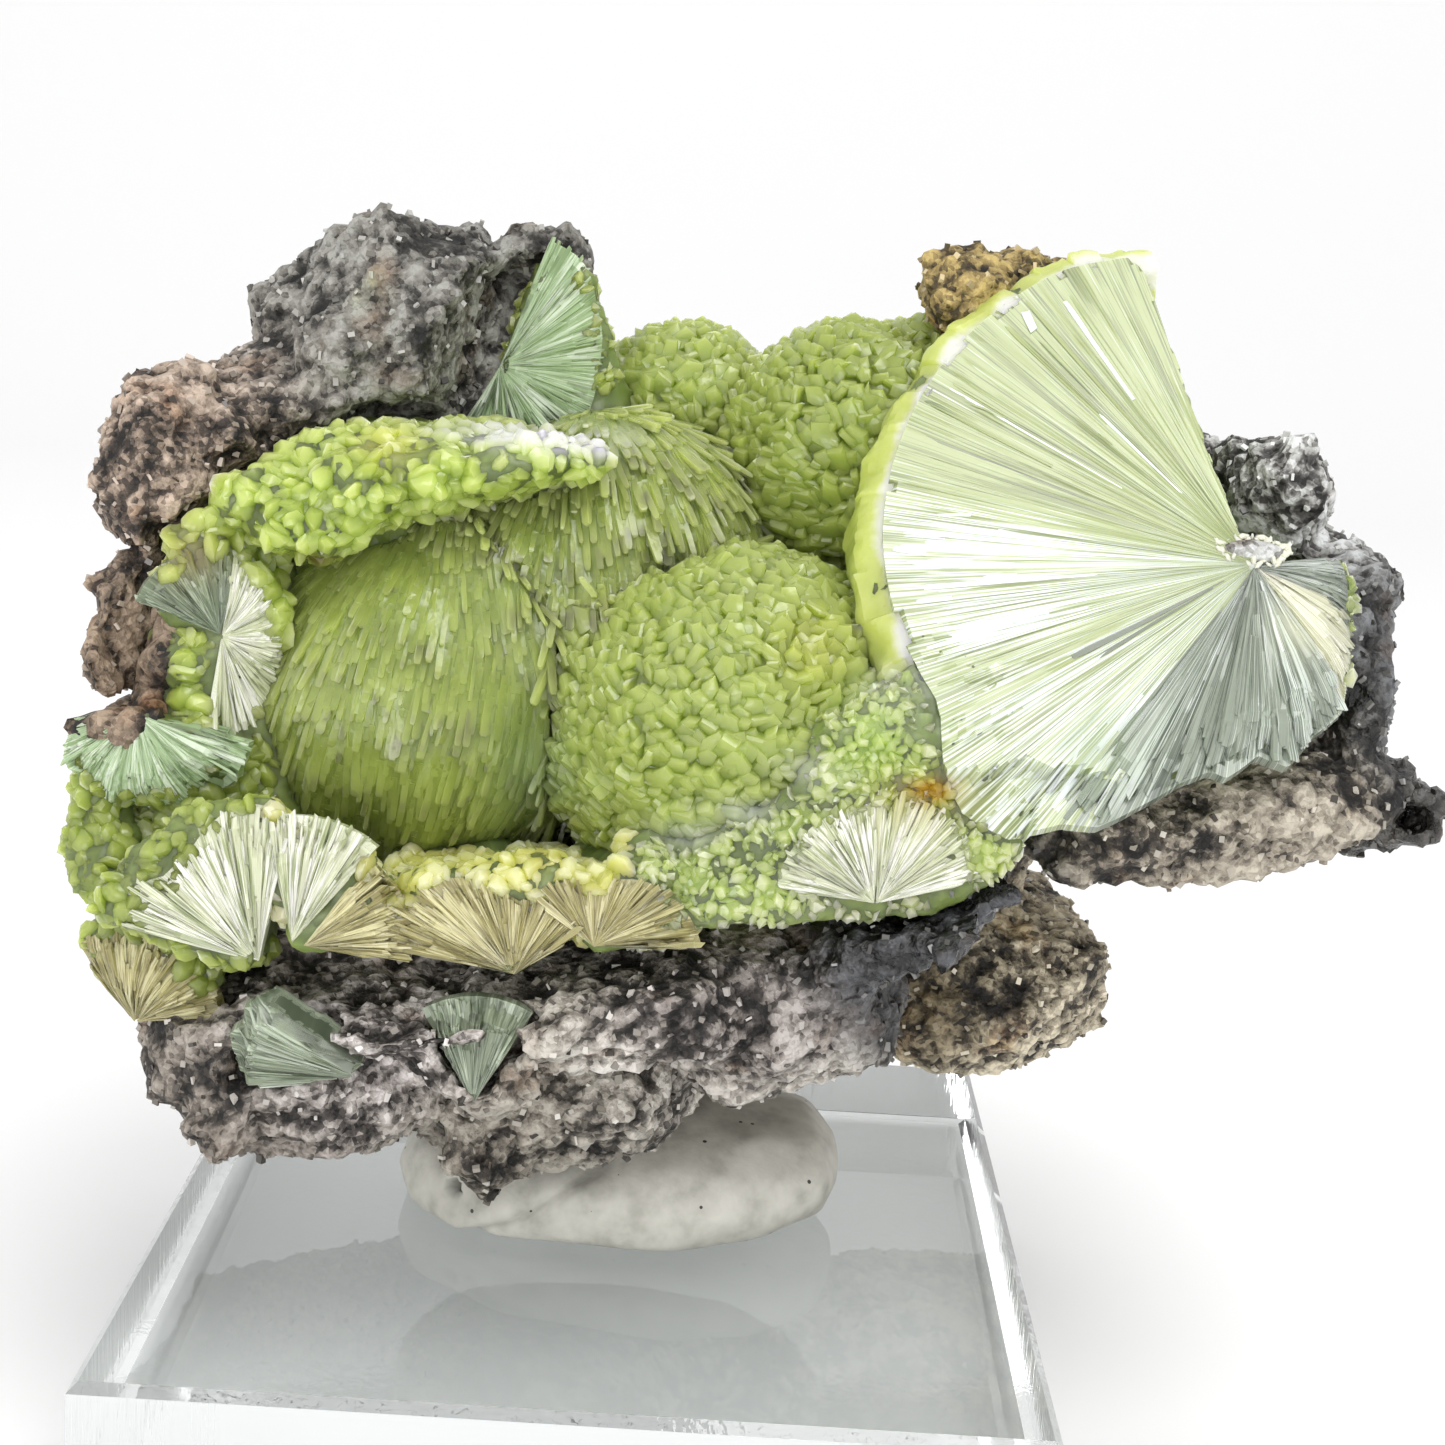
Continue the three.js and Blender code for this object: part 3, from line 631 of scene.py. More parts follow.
massive = wavellite("massive wavellite", "#66783a", "#84964e", "#9cae68", Roughness=0.4)
grow(
    crust, relief, Ledge_size=2.4 * MM, Ledge_height=0.3 * MM, Knob_size=0.7 * MM, Knob_height=0.25 * MM,
    Grain_size=0.4 * MM, Grain_height=0.15 * MM, Material=massive,
)
finish_crystals(crust, crisp=None)

# Balls. They grew into each other and into one rounded mass. The large ball and its shoulder are
# silky: long blades that run down from a point above and overlap like tiles. The other balls are
# drusy: short, blunt plates that stand up a little in clumps.
BRIDGES = (
    ((-5.6, 2.0, 37.6), 7.9), ((-2.2, -0.6, 33.8), 4.9),
    ((-1.6, -0.4, 37.4), 5.6), ((-11.2, 0.8, 34.2), 8.0),
)


def start_crystal(name, sides, rings):
    """One crystal as stacked rings of corners, each given as height and two half widths, in mm."""
    mesh = bpy.data.meshes.new(name)
    turns = (np.arange(sides) + 0.5) * 2 * math.pi / sides
    corners = [(w * math.cos(t) * MM, d * math.sin(t) * MM, z * MM) for z, w, d in rings for t in turns]
    faces = [
        (k * sides + i, k * sides + (i + 1) % sides, (k + 1) * sides + (i + 1) % sides, (k + 1) * sides + i)
        for k in range(len(rings) - 1) for i in range(sides)
    ]
    faces += [tuple(reversed(range(sides))), tuple(range((len(rings) - 1) * sides, len(rings) * sides))]
    mesh.from_pydata(corners, [], faces)
    return new_piece(name, mesh)


blade = start_crystal(
    "blade", 4, ((-0.3, 0.16, 0.12), (1.0, 0.2, 0.14), (1.6, 0.18, 0.12), (1.7, 0.12, 0.08)),
)
scale = start_crystal(
    "scale", 5, ((-0.6, 0.38, 0.28), (0.12, 0.5, 0.36), (0.24, 0.44, 0.3), (0.28, 0.24, 0.16)),
)
silk = wavellite("silky wavellite", "#7f8d44", "#8f9e4b", "#a1af5a", Roughness=0.24)
druse = wavellite("drusy wavellite", "#808e44", "#8c9b4a", "#99a758", Roughness=0.22)
# painted shade: a darker copy of the drusy colours, for the rear, left and hollow crystals that lie in shade
shade = wavellite("drusy wavellite, painted shade", "#717e38", "#808e40", "#909e4e", Roughness=0.26)


def skin_slab(body, mask, thick, **bumps):
    """The masked part of a body's skin as a closed slab, as thick as given in mm, with low relief."""
    part = new_piece("part", body.data.copy())
    shell = bmesh.new()
    shell.from_mesh(part.data)
    shell.verts.ensure_lookup_table()
    gone = [face for face in shell.faces if not all(mask[corner.index] for corner in face.verts)]
    bmesh.ops.delete(shell, geom=gone, context="FACES")
    shell.to_mesh(part.data)
    shell.free()
    slab = part.modifiers.new("slab", "SOLIDIFY")
    slab.thickness = thick * MM
    slab.offset = -1
    settle(part)
    remeshed(part, 0.4 * MM)
    sizes = {key: size * MM for key, size in bumps.items()}
    grow(part, relief, Grain_size=0.4 * MM, Grain_height=0.1 * MM, **sizes)
    mesh = part.data
    bpy.data.objects.remove(part)
    return mesh


OUTER_SKIN = 0.95 * MM


def outer_face(mesh, surface, least):
    """Marks a slab's points on its outer face: near the surface it was cut from and facing as it does."""
    marks = []
    for corner in mesh.vertices:
        _, facing, _, gap = surface.find_nearest(corner.co)
        marks.append(gap < OUTER_SKIN and corner.normal.dot(facing) > least)
    return np.array(marks)


def baked(faces, name):
    """A mesh from faces that were made with bmesh."""
    mesh = bpy.data.meshes.new(name)
    faces.to_mesh(mesh)
    faces.free()
    return mesh


def rounded_mass(name, balls):
    """Balls that grew into each other, given as centre and radius in mm, as one closed mesh."""
    mass = bmesh.new()
    for centre, radius in balls:
        placed = Matrix.Translation(Vector(centre) * MM)
        bmesh.ops.create_icosphere(mass, subdivisions=5, radius=radius * MM, matrix=placed)
    return remeshed(new_piece(name, baked(mass, name)), 0.3 * MM, smooth=12)


mass = rounded_mass("ball_mass", [*BALLS.values(), *BRIDGES])
mass_surface = surface_of(mass)
outside = points_of(mass.data)
gaps = np.array([np.linalg.norm(outside - centre, axis=1) - radius for centre, radius in BALLS.values()])
owner = gaps.argmin(axis=0)
tiles, plates = dict(Crystal=blade, Lay=1.0), dict(Crystal=scale, Lay=0.35, Lift=0.0, Twist=3.14)
for n, (name, habit, material, bumps, nucleus, spacing, largest, lean) in enumerate((
    (
        "silky", dict(tiles, Lift=-0.06, Twist=0.2), silk, (3.0, 0.14, 1.1, 0.04), (-7.5, 3.0, 46.5),
        0.225, 1.5, 0.04,
    ),
    (
        "shoulder", dict(tiles, Lift=-0.05, Twist=0.4), silk, (2.2, 0.7, 1.3, 0.12), (-3.0, 5.0, 50.0),
        0.22, 1.5, 0.08,
    ),
    ("middle", plates, druse, (2.2, 0.8, 1.2, 0.35), (9.0, -1.0, 43.5), 0.34, 1.7, 0.2),
    ("rear", plates, shade, (2.2, 0.8, 1.3, 0.3), (12.0, 8.0, 54.0), 0.36, 1.9, 0.22),
    ("rear top", plates, shade, (2.2, 0.8, 1.3, 0.3), (14.0, 8.0, 56.0), 0.36, 1.9, 0.3),
    ("skyline", plates, druse, (2.2, 0.8, 1.3, 0.3), (1.0, 10.0, 55.0), 0.34, 1.8, 0.3),
    ("left", plates, shade, (2.2, 0.8, 1.3, 0.3), (-20.0, -2.0, 34.0), 0.34, 1.8, 0.3),
)):
    centre, radius = BALLS[name]
    mask = (owner == n) & ((outside[:, 1] < centre[1] + 0.45 * radius) | (outside[:, 2] > 47.0))
    sizes = dict(zip(("Ledge_size", "Ledge_height", "Knob_size", "Knob_height"), bumps))
    mesh = skin_slab(mass, mask, 1.6, **sizes)
    grown_together(
        f"{name.replace(' ', '_')}_ball", mesh, outer_face(mesh, mass_surface, 0.3),
        Nucleus=Vector(nucleus) * MM, Material=material, Spacing=spacing * MM, Smallest=0.6,
        Largest=largest, Lean=lean, Sink=0.0, **habit,
    )
bpy.data.objects.remove(mass)

# Rock skin: crumbs of the matrix that stayed stuck on the outer flank of the crust. They are as rough
# as the rock and stand 0.3 mm proud of the crust's own skin.
mesh = skin_slab(
    crust, on_flank & in_air, 1.0, Ledge_size=2.6, Ledge_height=0.7, Knob_size=0.9, Knob_height=0.6,
)
crumbs = new_piece("rock_skin", mesh)
for corner in mesh.vertices:
    corner.co += corner.normal * 0.3 * MM
keep_cast(mesh)
mesh.materials.clear()
mesh.materials.append(rock_stone)
finish_piece(crumbs, "matrix_rock")

# Drusy ledge, rims and hollow: rounded yellow-green lumps where the crust turns over the edge. They
# grew on the crust and into each other. The slope below the middle ball broke off and is sugary.
def start_grain(name, steps, half, uneven, seed):
    """One rounded grain of crystal, with given half sizes in mm and some unevenness."""
    rng = np.random.default_rng(seed)
    grain = bmesh.new()
    bmesh.ops.create_icosphere(grain, subdivisions=steps, radius=1)
    for corner in grain.verts:
        corner.co *= 1 + uneven * (rng.random() - 0.5)
        for axis in range(3):
            corner.co[axis] *= half[axis] * MM
    return new_piece(name, baked(grain, name))


lump = start_grain("lump", 2, (0.7, 0.62, 0.5), 0.3, 4)
grit = start_grain("grit", 1, (0.5, 0.42, 0.34), 0.5, 5)
edge = wavellite("lime drusy wavellite", "#84953e", "#9aac4c", "#b6c76c", Roughness=0.22)
yolk = wavellite("yellow drusy wavellite", "#b2b456", "#caca6c", "#e0e298", Roughness=0.22)
sugar = wavellite("sugary wavellite", "#98ac58", "#aabd6a", "#c6d292", Roughness=0.16)


crust_surface = surface_of(crust)
left = skin[:, 0] < -14
low, high = skin[:, 2] < 34, skin[:, 2] > 48.2
for name, mask, shape, material, sink, spacing, smallest, largest in (
    ("crest_druse", on_ledge & high, grit, edge, 0.14, 0.28, 0.4, 1.2),
    ("ledge_druse", on_ledge & ~low & ~high, lump, edge, 0.34, 0.4, 0.45, 1.35),
    ("hollow_druse", on_ledge & low & left, lump, shade, 0.3, 0.38, 0.4, 1.2),
    ("rim_druse", on_ledge & low & ~left & (skin[:, 2] > 27.4), lump, yolk, 0.3, 0.38, 0.4, 1.2),
    ("broken_slope", on_slope, grit, sugar, 0.06, 0.27, 0.35, 1.1),
):
    mesh = skin_slab(crust, mask, 1.2, Ledge_size=2.4, Ledge_height=0.5, Knob_size=0.8, Knob_height=0.25)
    grown_together(
        name, mesh, outer_face(mesh, crust_surface, -0.3), Crystal=shape, Material=material, Sink=sink * MM,
        Spacing=spacing * MM, Smallest=smallest, Largest=largest, Lean=3.14, Twist=3.14,
    )

# Rind of the large slice: the outer skin of the broken ball, a thin lime band round the cut. It has
# small stepped flakes, and a white crest where it broke across.
def closed_mesh(name, corners, faces):
    """A mesh from corners and faces, turned so that all its faces look outward."""
    mesh = bpy.data.meshes.new(name)
    mesh.from_pydata([tuple(corner) for corner in corners], [], faces)
    shell = bmesh.new()
    shell.from_mesh(mesh)
    bmesh.ops.recalc_face_normals(shell, faces=shell.faces)
    shell.to_mesh(mesh)
    shell.free()
    return mesh


def rind_mesh(fan, first, last, profile, swell, flakes):
    """A closed band along a fan's rim; the profile is given as distance out and height, in mm."""
    at, right, up, outward = fan_basis(fan)
    turn = np.radians(np.linspace(first, last, 260))
    corners, across = [], len(profile)
    for t in turn:
        ray = math.cos(t) * right + math.sin(t) * up
        reach = fan_reach(fan, math.degrees(t))
        for out, height in profile:
            spot = at + ray * (reach + out) + outward * height
            rise = swell * (noise.noise(Vector(spot) / 1.8) + 0.4 * abs(noise.noise(Vector(spot) / 0.7)))
            rise += flakes * noise.cell(Vector((0.6 * t * reach, 1.4 * out, 1.4 * height)))
            corners.append((spot + ray * rise + outward * 0.5 * rise) * MM)
    faces = [
        tuple((c + a) * across + (r + b) % across for a, b in ((0, 0), (0, 1), (1, 1), (1, 0)))
        for c in range(len(turn) - 1) for r in range(across)
    ]
    faces += [tuple(reversed(range(across))), tuple(range((len(turn) - 1) * across, len(turn) * across))]
    return closed_mesh("rind", corners, faces)


bend = (
    (-1.7, -0.5), (-1.55, 0.05), (-1.25, 0.2), (-0.9, 0.1), (-0.5, -0.1), (-0.1, -0.4), (0.15, -0.8),
    (0.3, -1.4), (0.35, -2.1), (0.3, -2.9), (0.0, -3.8), (-0.9, -4.6), (-2.0, -4.8), (-2.4, -3.0),
    (-2.2, -1.4),
)
lime = wavellite("lime rind", "#aeba56", "#c2cd70", "#e6ead0", Roughness=0.26)
rind = new_piece("slice_rind", rind_mesh(SLICE, 104.5, 216, bend, 0.36, 0.16))
crest = [0.8, 0.8, 0.7, 0.55, 0.3]
heights = crest + [0.12] * (len(bend) - len(crest))
keep(rind.data, "height", np.tile(heights, len(rind.data.vertices) // len(bend)))
rind.data.materials.append(lime)
finish_crystals(rind, 20)

# Cut faces: spherulites broken through their middle, so that the needles show lengthwise. Needles
# lie on the broken crust at their own height, length and tilt, which makes the face silky; their
# silvery sheen and dark streaks are painted light and shade, given as a share of light by angle.
sheaf, given = start_tree("needles grown together", Material=("NodeSocketMaterial", None))
island = add(sheaf, "GeometryNodeInputMeshIsland").outputs["Island Index"]
needles = add(
    sheaf, "GeometryNodeSplitToInstances", {"Geometry": given["Geometry"], "Group ID": island},
    domain="FACE",
).outputs["Instances"]
fused = add(
    sheaf, "GeometryNodeMeshBoolean", {"Mesh 2": needles}, operation="UNION", solver="MANIFOLD",
).outputs[0]
for label in ("tone", "silver"):
    own = add(sheaf, "GeometryNodeInputNamedAttribute", {"Name": label}, data_type="FLOAT").outputs[0]
    nearest = add(
        sheaf, "GeometryNodeSampleNearestSurface", {"Mesh": given["Geometry"], "Value": own},
        data_type="FLOAT",
    ).outputs[0]
    fused = store(sheaf, fused, label, nearest, "FACE")
end_tree(sheaf, fused, given["Material"])


def keep_rays(mesh, fan):
    """Stores where each corner lies on a fan, across and along its needles, for their streaks."""
    out, angle, _ = fan_place(fan, points_of(mesh))
    keep(mesh, "ray", np.radians(angle) * fan["radius"])
    keep(mesh, "along", out / fan["radius"])


def cut_face(
    name, fan, material, seed, count, width=0.36, rise=(-0.05, 0.3), length=(0.75, 1.0), start=0.5,
    roll=0.5, silver=((0, 0.2), (360, 0.2)), crowd=((0, 1), (360, 1)), bars=(), rim=0.0, frayed=(0, 0),
    pitch=0.6, waves=0.0, level=-1.0, bed=None, node="wavellite_crust",
):
    """The cut face of a fan as needles grown together on a thin bed; sizes in mm."""
    rng = np.random.default_rng(seed)
    at, right, up, outward = fan_basis(fan)
    low, high = fan["arc"]
    bed = bed or crust_surface

    def spot(out, angle, height, aside=0.0):
        """A point over the crust's own skin, and how high it lies over the cut."""
        t = math.radians(angle)
        ray, side = math.cos(t) * right + math.sin(t) * up, math.cos(t) * up - math.sin(t) * right
        flat = at + ray * out + side * aside
        hit = bed.ray_cast(Vector(flat + outward * 1.5) * MM, Vector(-outward), 4 * MM)[3]
        skin_height = -0.6 if hit is None else max(1.5 - hit / MM, -1.6)
        if skin_height > -0.3:
            skin_height = max(skin_height, level)
        return (flat + outward * (skin_height + height)) * MM

    def needle_reach(angle):
        """How far needles go at an angle: short of a rim, which thins out below the slice's middle."""
        return fan_reach(fan, angle) - rim * np.interp(angle, (208, 220), (1, 0))

    corners, faces, tone, shine = [], [], [], []
    columns = max(int(math.radians(high - low) * fan["radius"] / pitch), 6)
    rows = int(fan["radius"] / 0.45) + 2
    for angle in np.linspace(low, high, columns):
        reach = min(needle_reach(angle) + 0.25, fan_reach(fan, angle))
        shares = [0.02 + 0.98 * r / (rows - 1) for r in range(rows)]
        way = math.radians(angle) * fan["radius"] / 0.35
        wave = [noise.noise(Vector((way, share * 2, 0))) for share in shares]
        line = [spot(reach * share, angle, 0.06 + waves * w) for share, w in zip(shares, wave)]
        corners += line + [point - outward * 0.7 * MM for point in reversed(line)]
    ring = 2 * rows
    for c in range(columns - 1):
        for r in range(ring):
            a, b = c * ring + r, c * ring + (r + 1) % ring
            faces.append((a, b, b + ring, a + ring))
    faces += [tuple(reversed(range(ring))), tuple(range((columns - 1) * ring, columns * ring))]
    tone += [0.3] * len(corners)
    # painted light for the bed, given by angle
    shine += np.repeat(0.6 * np.interp(np.linspace(low, high, columns), *zip(*silver)), ring).tolist()
    needles = []
    for n in range(count):
        angle = low + (high - low) * (n + rng.random()) / count
        if rng.random() > np.interp(angle, *zip(*crowd)):
            continue
        torn = 0.2 * rng.random() ** 2 if frayed[0] < angle < frayed[1] else 0
        reach = needle_reach(angle) * (rng.uniform(*length) - torn)
        first = reach * start * rng.random() ** 2
        glow = noise.noise(Vector((angle / 9.0, seed, 0.5)))
        spark = np.interp(angle, *zip(*silver)) + 0.5 * glow + 0.25 * (rng.random() - 0.5)
        needles.append((angle, first, reach, width * rng.uniform(0.4, 1.3), rng.uniform(*rise), spark))
    # bars: single needles with their own painted light, bright painted glints or dark painted shade
    for angle, first, last, wide, spark in bars:
        needles.append((angle, first, last, wide, rise[1], spark))
    for angle, first, last, wide, lift, spark in needles:
        if last - first < 0.4:
            continue
        base, lean = len(corners), roll * rng.normal()
        turned = angle + rng.normal() * 0.8
        slant = rng.uniform(-0.3, 0.3)
        for k, share in enumerate((0, 0.5, 0.9, 1)):
            out = first + (last - first) * share
            half = 0.5 * wide * (max(out / last, 0.15) if k < 3 else 0.7)
            deep = half * (0.9 if k < 3 else 0.5)
            centre = angle + (turned - angle) * share
            for x, y in ((-1, -1), (1, -1), (1, 1), (-1, 1)):
                across = half * (x * math.cos(lean) - y * 0.6 * math.sin(lean))
                high_up = deep * (x * math.sin(lean) + y * 0.6 * math.cos(lean)) + lift * min(1, out)
                corners.append(spot(out + (slant * x * half * 4 if k == 3 else 0), centre, high_up, across))
        for k in range(3):
            for c in range(4):
                a, b = base + 4 * k + c, base + 4 * k + (c + 1) % 4
                faces.append((a, b, b + 4, a + 4))
        faces += [(base + 3, base + 2, base + 1, base), (base + 12, base + 13, base + 14, base + 15)]
        tone += [rng.random()] * 16
        shine += [spark] * 16
    mesh = closed_mesh(name, corners, faces)
    keep(mesh, "tone", tone)
    keep(mesh, "silver", shine)
    piece = grow(new_piece(name, mesh), sheaf, Material=material)
    keep_rays(piece.data, fan)
    return finish_crystals(piece, 12, node)


def fibrous(name, dark, middle, light, bright, painted_shade_colour="#565c50", **sockets):
    """Fibrous wavellite: streaks along the needles, with painted light: silvery where many needles catch the
    light, a painted reflection, and darker, painted shade, where little light falls.
    """
    material, nodes, shader = start_material(
        name, IOR=1.53, Subsurface_Weight=0.5, Subsurface_Scale=0.4 * MM, **sockets,
    )
    shader.inputs["Subsurface Radius"].default_value = (1.0, 1.1, 0.8)
    ray, along, tone, silver = (
        stored(nodes, label)
        for label in ("ray", "along", "tone", "silver")
    )
    place = add(nodes, "ShaderNodeCombineXYZ", {0: ray, 1: along}).outputs[0]
    streaks = []
    for width, length in ((0.9, 1.2), (0.11, 2.5)):
        stretched = add(
            nodes, "ShaderNodeVectorMath", {0: place, 1: (1 / width, length, 1)}, operation="MULTIPLY",
        ).outputs[0]
        streak = add(nodes, "ShaderNodeTexNoise", {"Vector": stretched, "Scale": 1.0, "Detail": 3})
        streaks.append(streak.outputs["Fac"])
    both = reckon(nodes, "ADD", streaks[0], streaks[1])
    both = reckon(nodes, "MULTIPLY_ADD", tone, 0.12, both)
    tint = ramp(nodes, both, (0.7, dark), (0.95, middle), (1.2, middle), (1.45, light))
    # painted light: a share of light per needle turns the colour bright, a painted reflection, or to the
    # shade colour, painted shade
    lit = reckon(nodes, "MULTIPLY_ADD", silver, 0.45, streaks[1])
    gloom = spread(nodes, lit, 0.42, 0.2)
    tint = mixed(nodes, gloom, tint, linear(painted_shade_colour))
    flash = spread(nodes, lit, 0.6, 0.74)
    tint = mixed(nodes, flash, tint, linear(bright))
    nodes.links.new(stained(nodes, tint), shader.inputs["Base Color"])
    return material


pale = fibrous(
    "fibrous wavellite, cut", "#78805a", "#949e6e", "#a8b280", "#dfe6e4", painted_shade_colour="#5c6450", Roughness=0.24,
)
white = fibrous("fibrous wavellite, white", "#76825a", "#a2aa82", "#c4c8a8", "#f0f0e4", Roughness=0.28)
green = fibrous("fibrous wavellite, green", "#647c54", "#869c6e", "#9cb288", "#ccd8c0", Roughness=0.35)
smoky = fibrous("fibrous wavellite, smoky", "#3c4636", "#525e48", "#6c7860", "#98a48c", Roughness=0.3)
grey = fibrous("fibrous wavellite, grey", "#525a50", "#727a6e", "#8e9688", "#ccd4ca", Roughness=0.26)
cream = fibrous("fibrous wavellite, cream", "#8c8c6c", "#a8a88c", "#c4c4aa", "#ececdc", Roughness=0.3)
grey_green = fibrous(
    "fibrous wavellite, grey green", "#4e5846", "#68725e", "#828c76", "#b0baa6", Roughness=0.3,
)
straw = fibrous("fibrous wavellite, straw", "#6a603a", "#827a4a", "#9c9464", "#ccc698", Roughness=0.35)
cut_face(
    "cut_slice", dict(SLICE, arc=(106.5, 240)), pale, 1, 700, width=0.2, rise=(-0.1, 0.05), length=(0.9, 1.0),
    start=0.9, roll=0.2, pitch=0.16, waves=0.04, level=0.2, rim=1.1, frayed=(196, 250),
    silver=((100, -0.1), (166, -0.05), (175, 0.5), (196, 0.5), (204, 0.3), (228, 0.55), (240, 0.3)),
    crowd=((106, 0.15), (130, 0.3), (165, 0.45), (176, 1), (240, 1)),
    # bars: needles with their own share of light, painted glints where high and painted shade where low
    bars=(
        (123.5, 9.2, 14.9, 0.26, 1.1), (131, 14.4, 15.4, 0.4, 1.1), (134, 4.5, 9.5, 0.14, 0.9),
        (150, 6.5, 15.2, 0.12, 0.9), (213, 1.6, 9.2, 0.3, -1.5), (214.5, 2.2, 8.4, 0.2, -1.3),
        (148, 3, 14, 0.16, -0.5), (160, 4, 15, 0.16, -0.5), (178, 13.0, 14.3, 0.22, 1.2),
        (180.5, 11.5, 12.7, 0.2, 1.2), (176, 9.8, 11.0, 0.18, 1.2), (182, 14.0, 15.4, 0.26, 1.2),
        (173, 12.2, 13.7, 0.16, 1.2), (184.5, 12.6, 13.5, 0.2, 1.2), (187, 10.2, 11.6, 0.2, 1.2),
        (191, 13.1, 14.6, 0.22, 1.2),
    ),
)
cut_face(
    "slice_foot", dict(SLICE, arc=(236, 302)), grey, 2, 260, width=0.5, rise=(-0.1, 0.35), length=(0.7, 1.0),
    start=0.7, roll=0.4, pitch=0.3, waves=0.1, silver=((236, 0.3), (262, 0), (275, -0.1), (302, 0.4)),
)
cut_face(
    "slice_heel", dict(SLICE, arc=(298, 332)), cream, 3, 110, width=0.4, rise=(-0.1, 0.2), length=(0.7, 1.0),
    roll=0.3, pitch=0.3, waves=0.05,
)
cut_face(
    "slice_side", dict(SLICE, arc=(330, 374)), grey, 4, 110, width=0.16, rise=(-0.05, 0.15),
    length=(0.6, 1.0), silver=((330, -0.3), (350, -0.1), (374, 0.6)),
)

# Hub of the slice: a lens of grey rock that the ball grew on, ringed with short white crystals.
# The lens is under 3 mm wide, so the solids leave it out.
at, right, up, outward = fan_basis(SLICE)
HUB_GRAINS = 44
hub = bmesh.new()
for n in range(HUB_GRAINS):
    turn = 2 * math.pi * n / HUB_GRAINS
    wide, high = 1.5 + 0.14 * math.sin(n * 7.0), 0.58 + 0.1 * math.sin(n * 3.0)
    spot = at + right * (wide * math.cos(turn) - 0.05) + up * (0.7 + high * math.sin(turn)) + outward * 0.14
    placed = Matrix.Translation(Vector(spot) * MM) @ Matrix.Rotation(turn * 5, 4, "Y")
    placed @= Matrix.Diagonal((1.6, 1, 0.7, 1))
    size = 0.16 + 0.06 * math.sin(n * 5.0)
    bmesh.ops.create_icosphere(hub, subdivisions=1, radius=size * MM, matrix=placed)
mesh = baked(hub, "hub_ring")
keep(mesh, "tone", np.full(len(mesh.vertices), 0.9))
keep(mesh, "silver", np.full(len(mesh.vertices), 0.4))
ring = grow(new_piece("hub_ring", mesh), sheaf, Material=cream)
finish_crystals(ring, 20)
lens = bmesh.new()
placed = Matrix.Translation(Vector(at + up * 0.7 + outward * 0.05 - right * 0.05) * MM)
placed @= Matrix.Diagonal((1.4 * MM, 0.45 * MM, 0.5 * MM, 1))
bmesh.ops.create_icosphere(lens, subdivisions=3, radius=1, matrix=placed)
mesh = baked(lens, "hub_lens")
lens = new_piece("hub_lens", mesh)
keep(mesh, "height", np.full(len(mesh.vertices), -0.05))
keep_cast(mesh)
mesh.materials.append(rock_stone)
finish_piece(lens, "matrix_rock")

# Small fans: spherulites that broke across at the pocket's edge. Each shows its needles from the
# nucleus out. They are white in front, straw on the lower rim and grey green in the rock's shade.
for n, (name, fan) in enumerate(FANS.items()):
    material = (
        green if name in ("top", "left hanging") else smoky if name == "left dark" else
        straw if name in ("rim left", "rim middle", "corner", "corner right", "front low") else white
    )
    size = fan["radius"] * math.radians(fan["arc"][1] - fan["arc"][0])
    cut_face(
        f"{name.replace(' ', '_')}_fan", fan, material, 20 + n, int(20 * size), width=0.24,
        rise=(-0.06, 0.12) if material in (green, smoky) else (-0.05, 0.25), length=(0.6, 1.04),
    )


# Sprays in the rock below the pocket: two small fans that broke across with the rock round them.
# Each is a closed body of dull grey green blades with needles that stand out where it broke.
SPRAYS = {
    "lower_spray": {"at": (-4.8, -14.2, 20.6), "facing": (0, -1, 0.1), "radius": 4.4, "arc": (60, 120)},
    "left_spray": {
        "at": (-9.4, -14.6, 21.8), "facing": (0, -0.98, -0.2), "radius": 5.6, "arc": (146, 190),
        "reach": ((146, 0.82), (152, 0.98), (160, 0.9), (170, 1.02), (178, 0.94), (190, 0.86)),
    },
}
for n, (name, fan) in enumerate(SPRAYS.items()):
    root = remeshed(merged_copy(name, f"{name}_root"), 0.25 * MM, smooth=2)
    keep_rays(root.data, fan)
    keep(root.data, "silver", np.full(len(root.data.vertices), 0.3))
    root.data.materials.append(grey_green)
    finish_crystals(root, None, name)
    cut_face(
        f"{name}_needles", fan, grey_green, 50 + n, 90, width=0.3, rise=(-0.05, 0.15), length=(0.8, 1.0),
        level=0.35, bed=surface_of(root), node=name,
    )

for spare in (blade, scale, lump, grit):
    bpy.data.objects.remove(spare)

# Putty: a lump of white mounting putty, pressed by thumb between the rock and the base. It is matt
# and slightly greasy, with a fold where two pieces were pressed together, a pit and picked-up dust.
FOLD = ((-5.6, 10.4), (-3.2, 11.6), (-1.2, 13.4), (0.4, 14.4))
PIT = (-6.7, 12.2)

putty = remeshed(merged_copy("putty", "putty_lump"), 0.3 * MM, smooth=14)
spots = points_of(putty.data)
flat = spots[:, [0, 2]]
nearest = np.full(len(spots), 9.0)
for start, end in zip(FOLD, FOLD[1:]):
    start, span = np.array(start), np.subtract(end, start)
    share = (((flat - start) @ span) / (span @ span)).clip(0, 1)[:, None]
    nearest = np.minimum(nearest, np.linalg.norm(flat - start - share * span, axis=1))
front = spots[:, 1] < 0
depth = np.where(front, 0.3 * np.exp(-(nearest / 0.28) ** 2), 0)
depth += np.where(front, 0.7 * np.exp(-(np.linalg.norm(flat - PIT, axis=1) / 0.4) ** 2), 0)
keep(putty.data, "hollow", depth)
for corner, deep in zip(putty.data.vertices, depth):
    thumb = 0.18 * noise.noise(corner.co / (3.2 * MM)) - deep
    corner.co += corner.normal * thumb * MM
white_putty, nodes, shader = start_material("white mounting putty", Roughness=0.6)
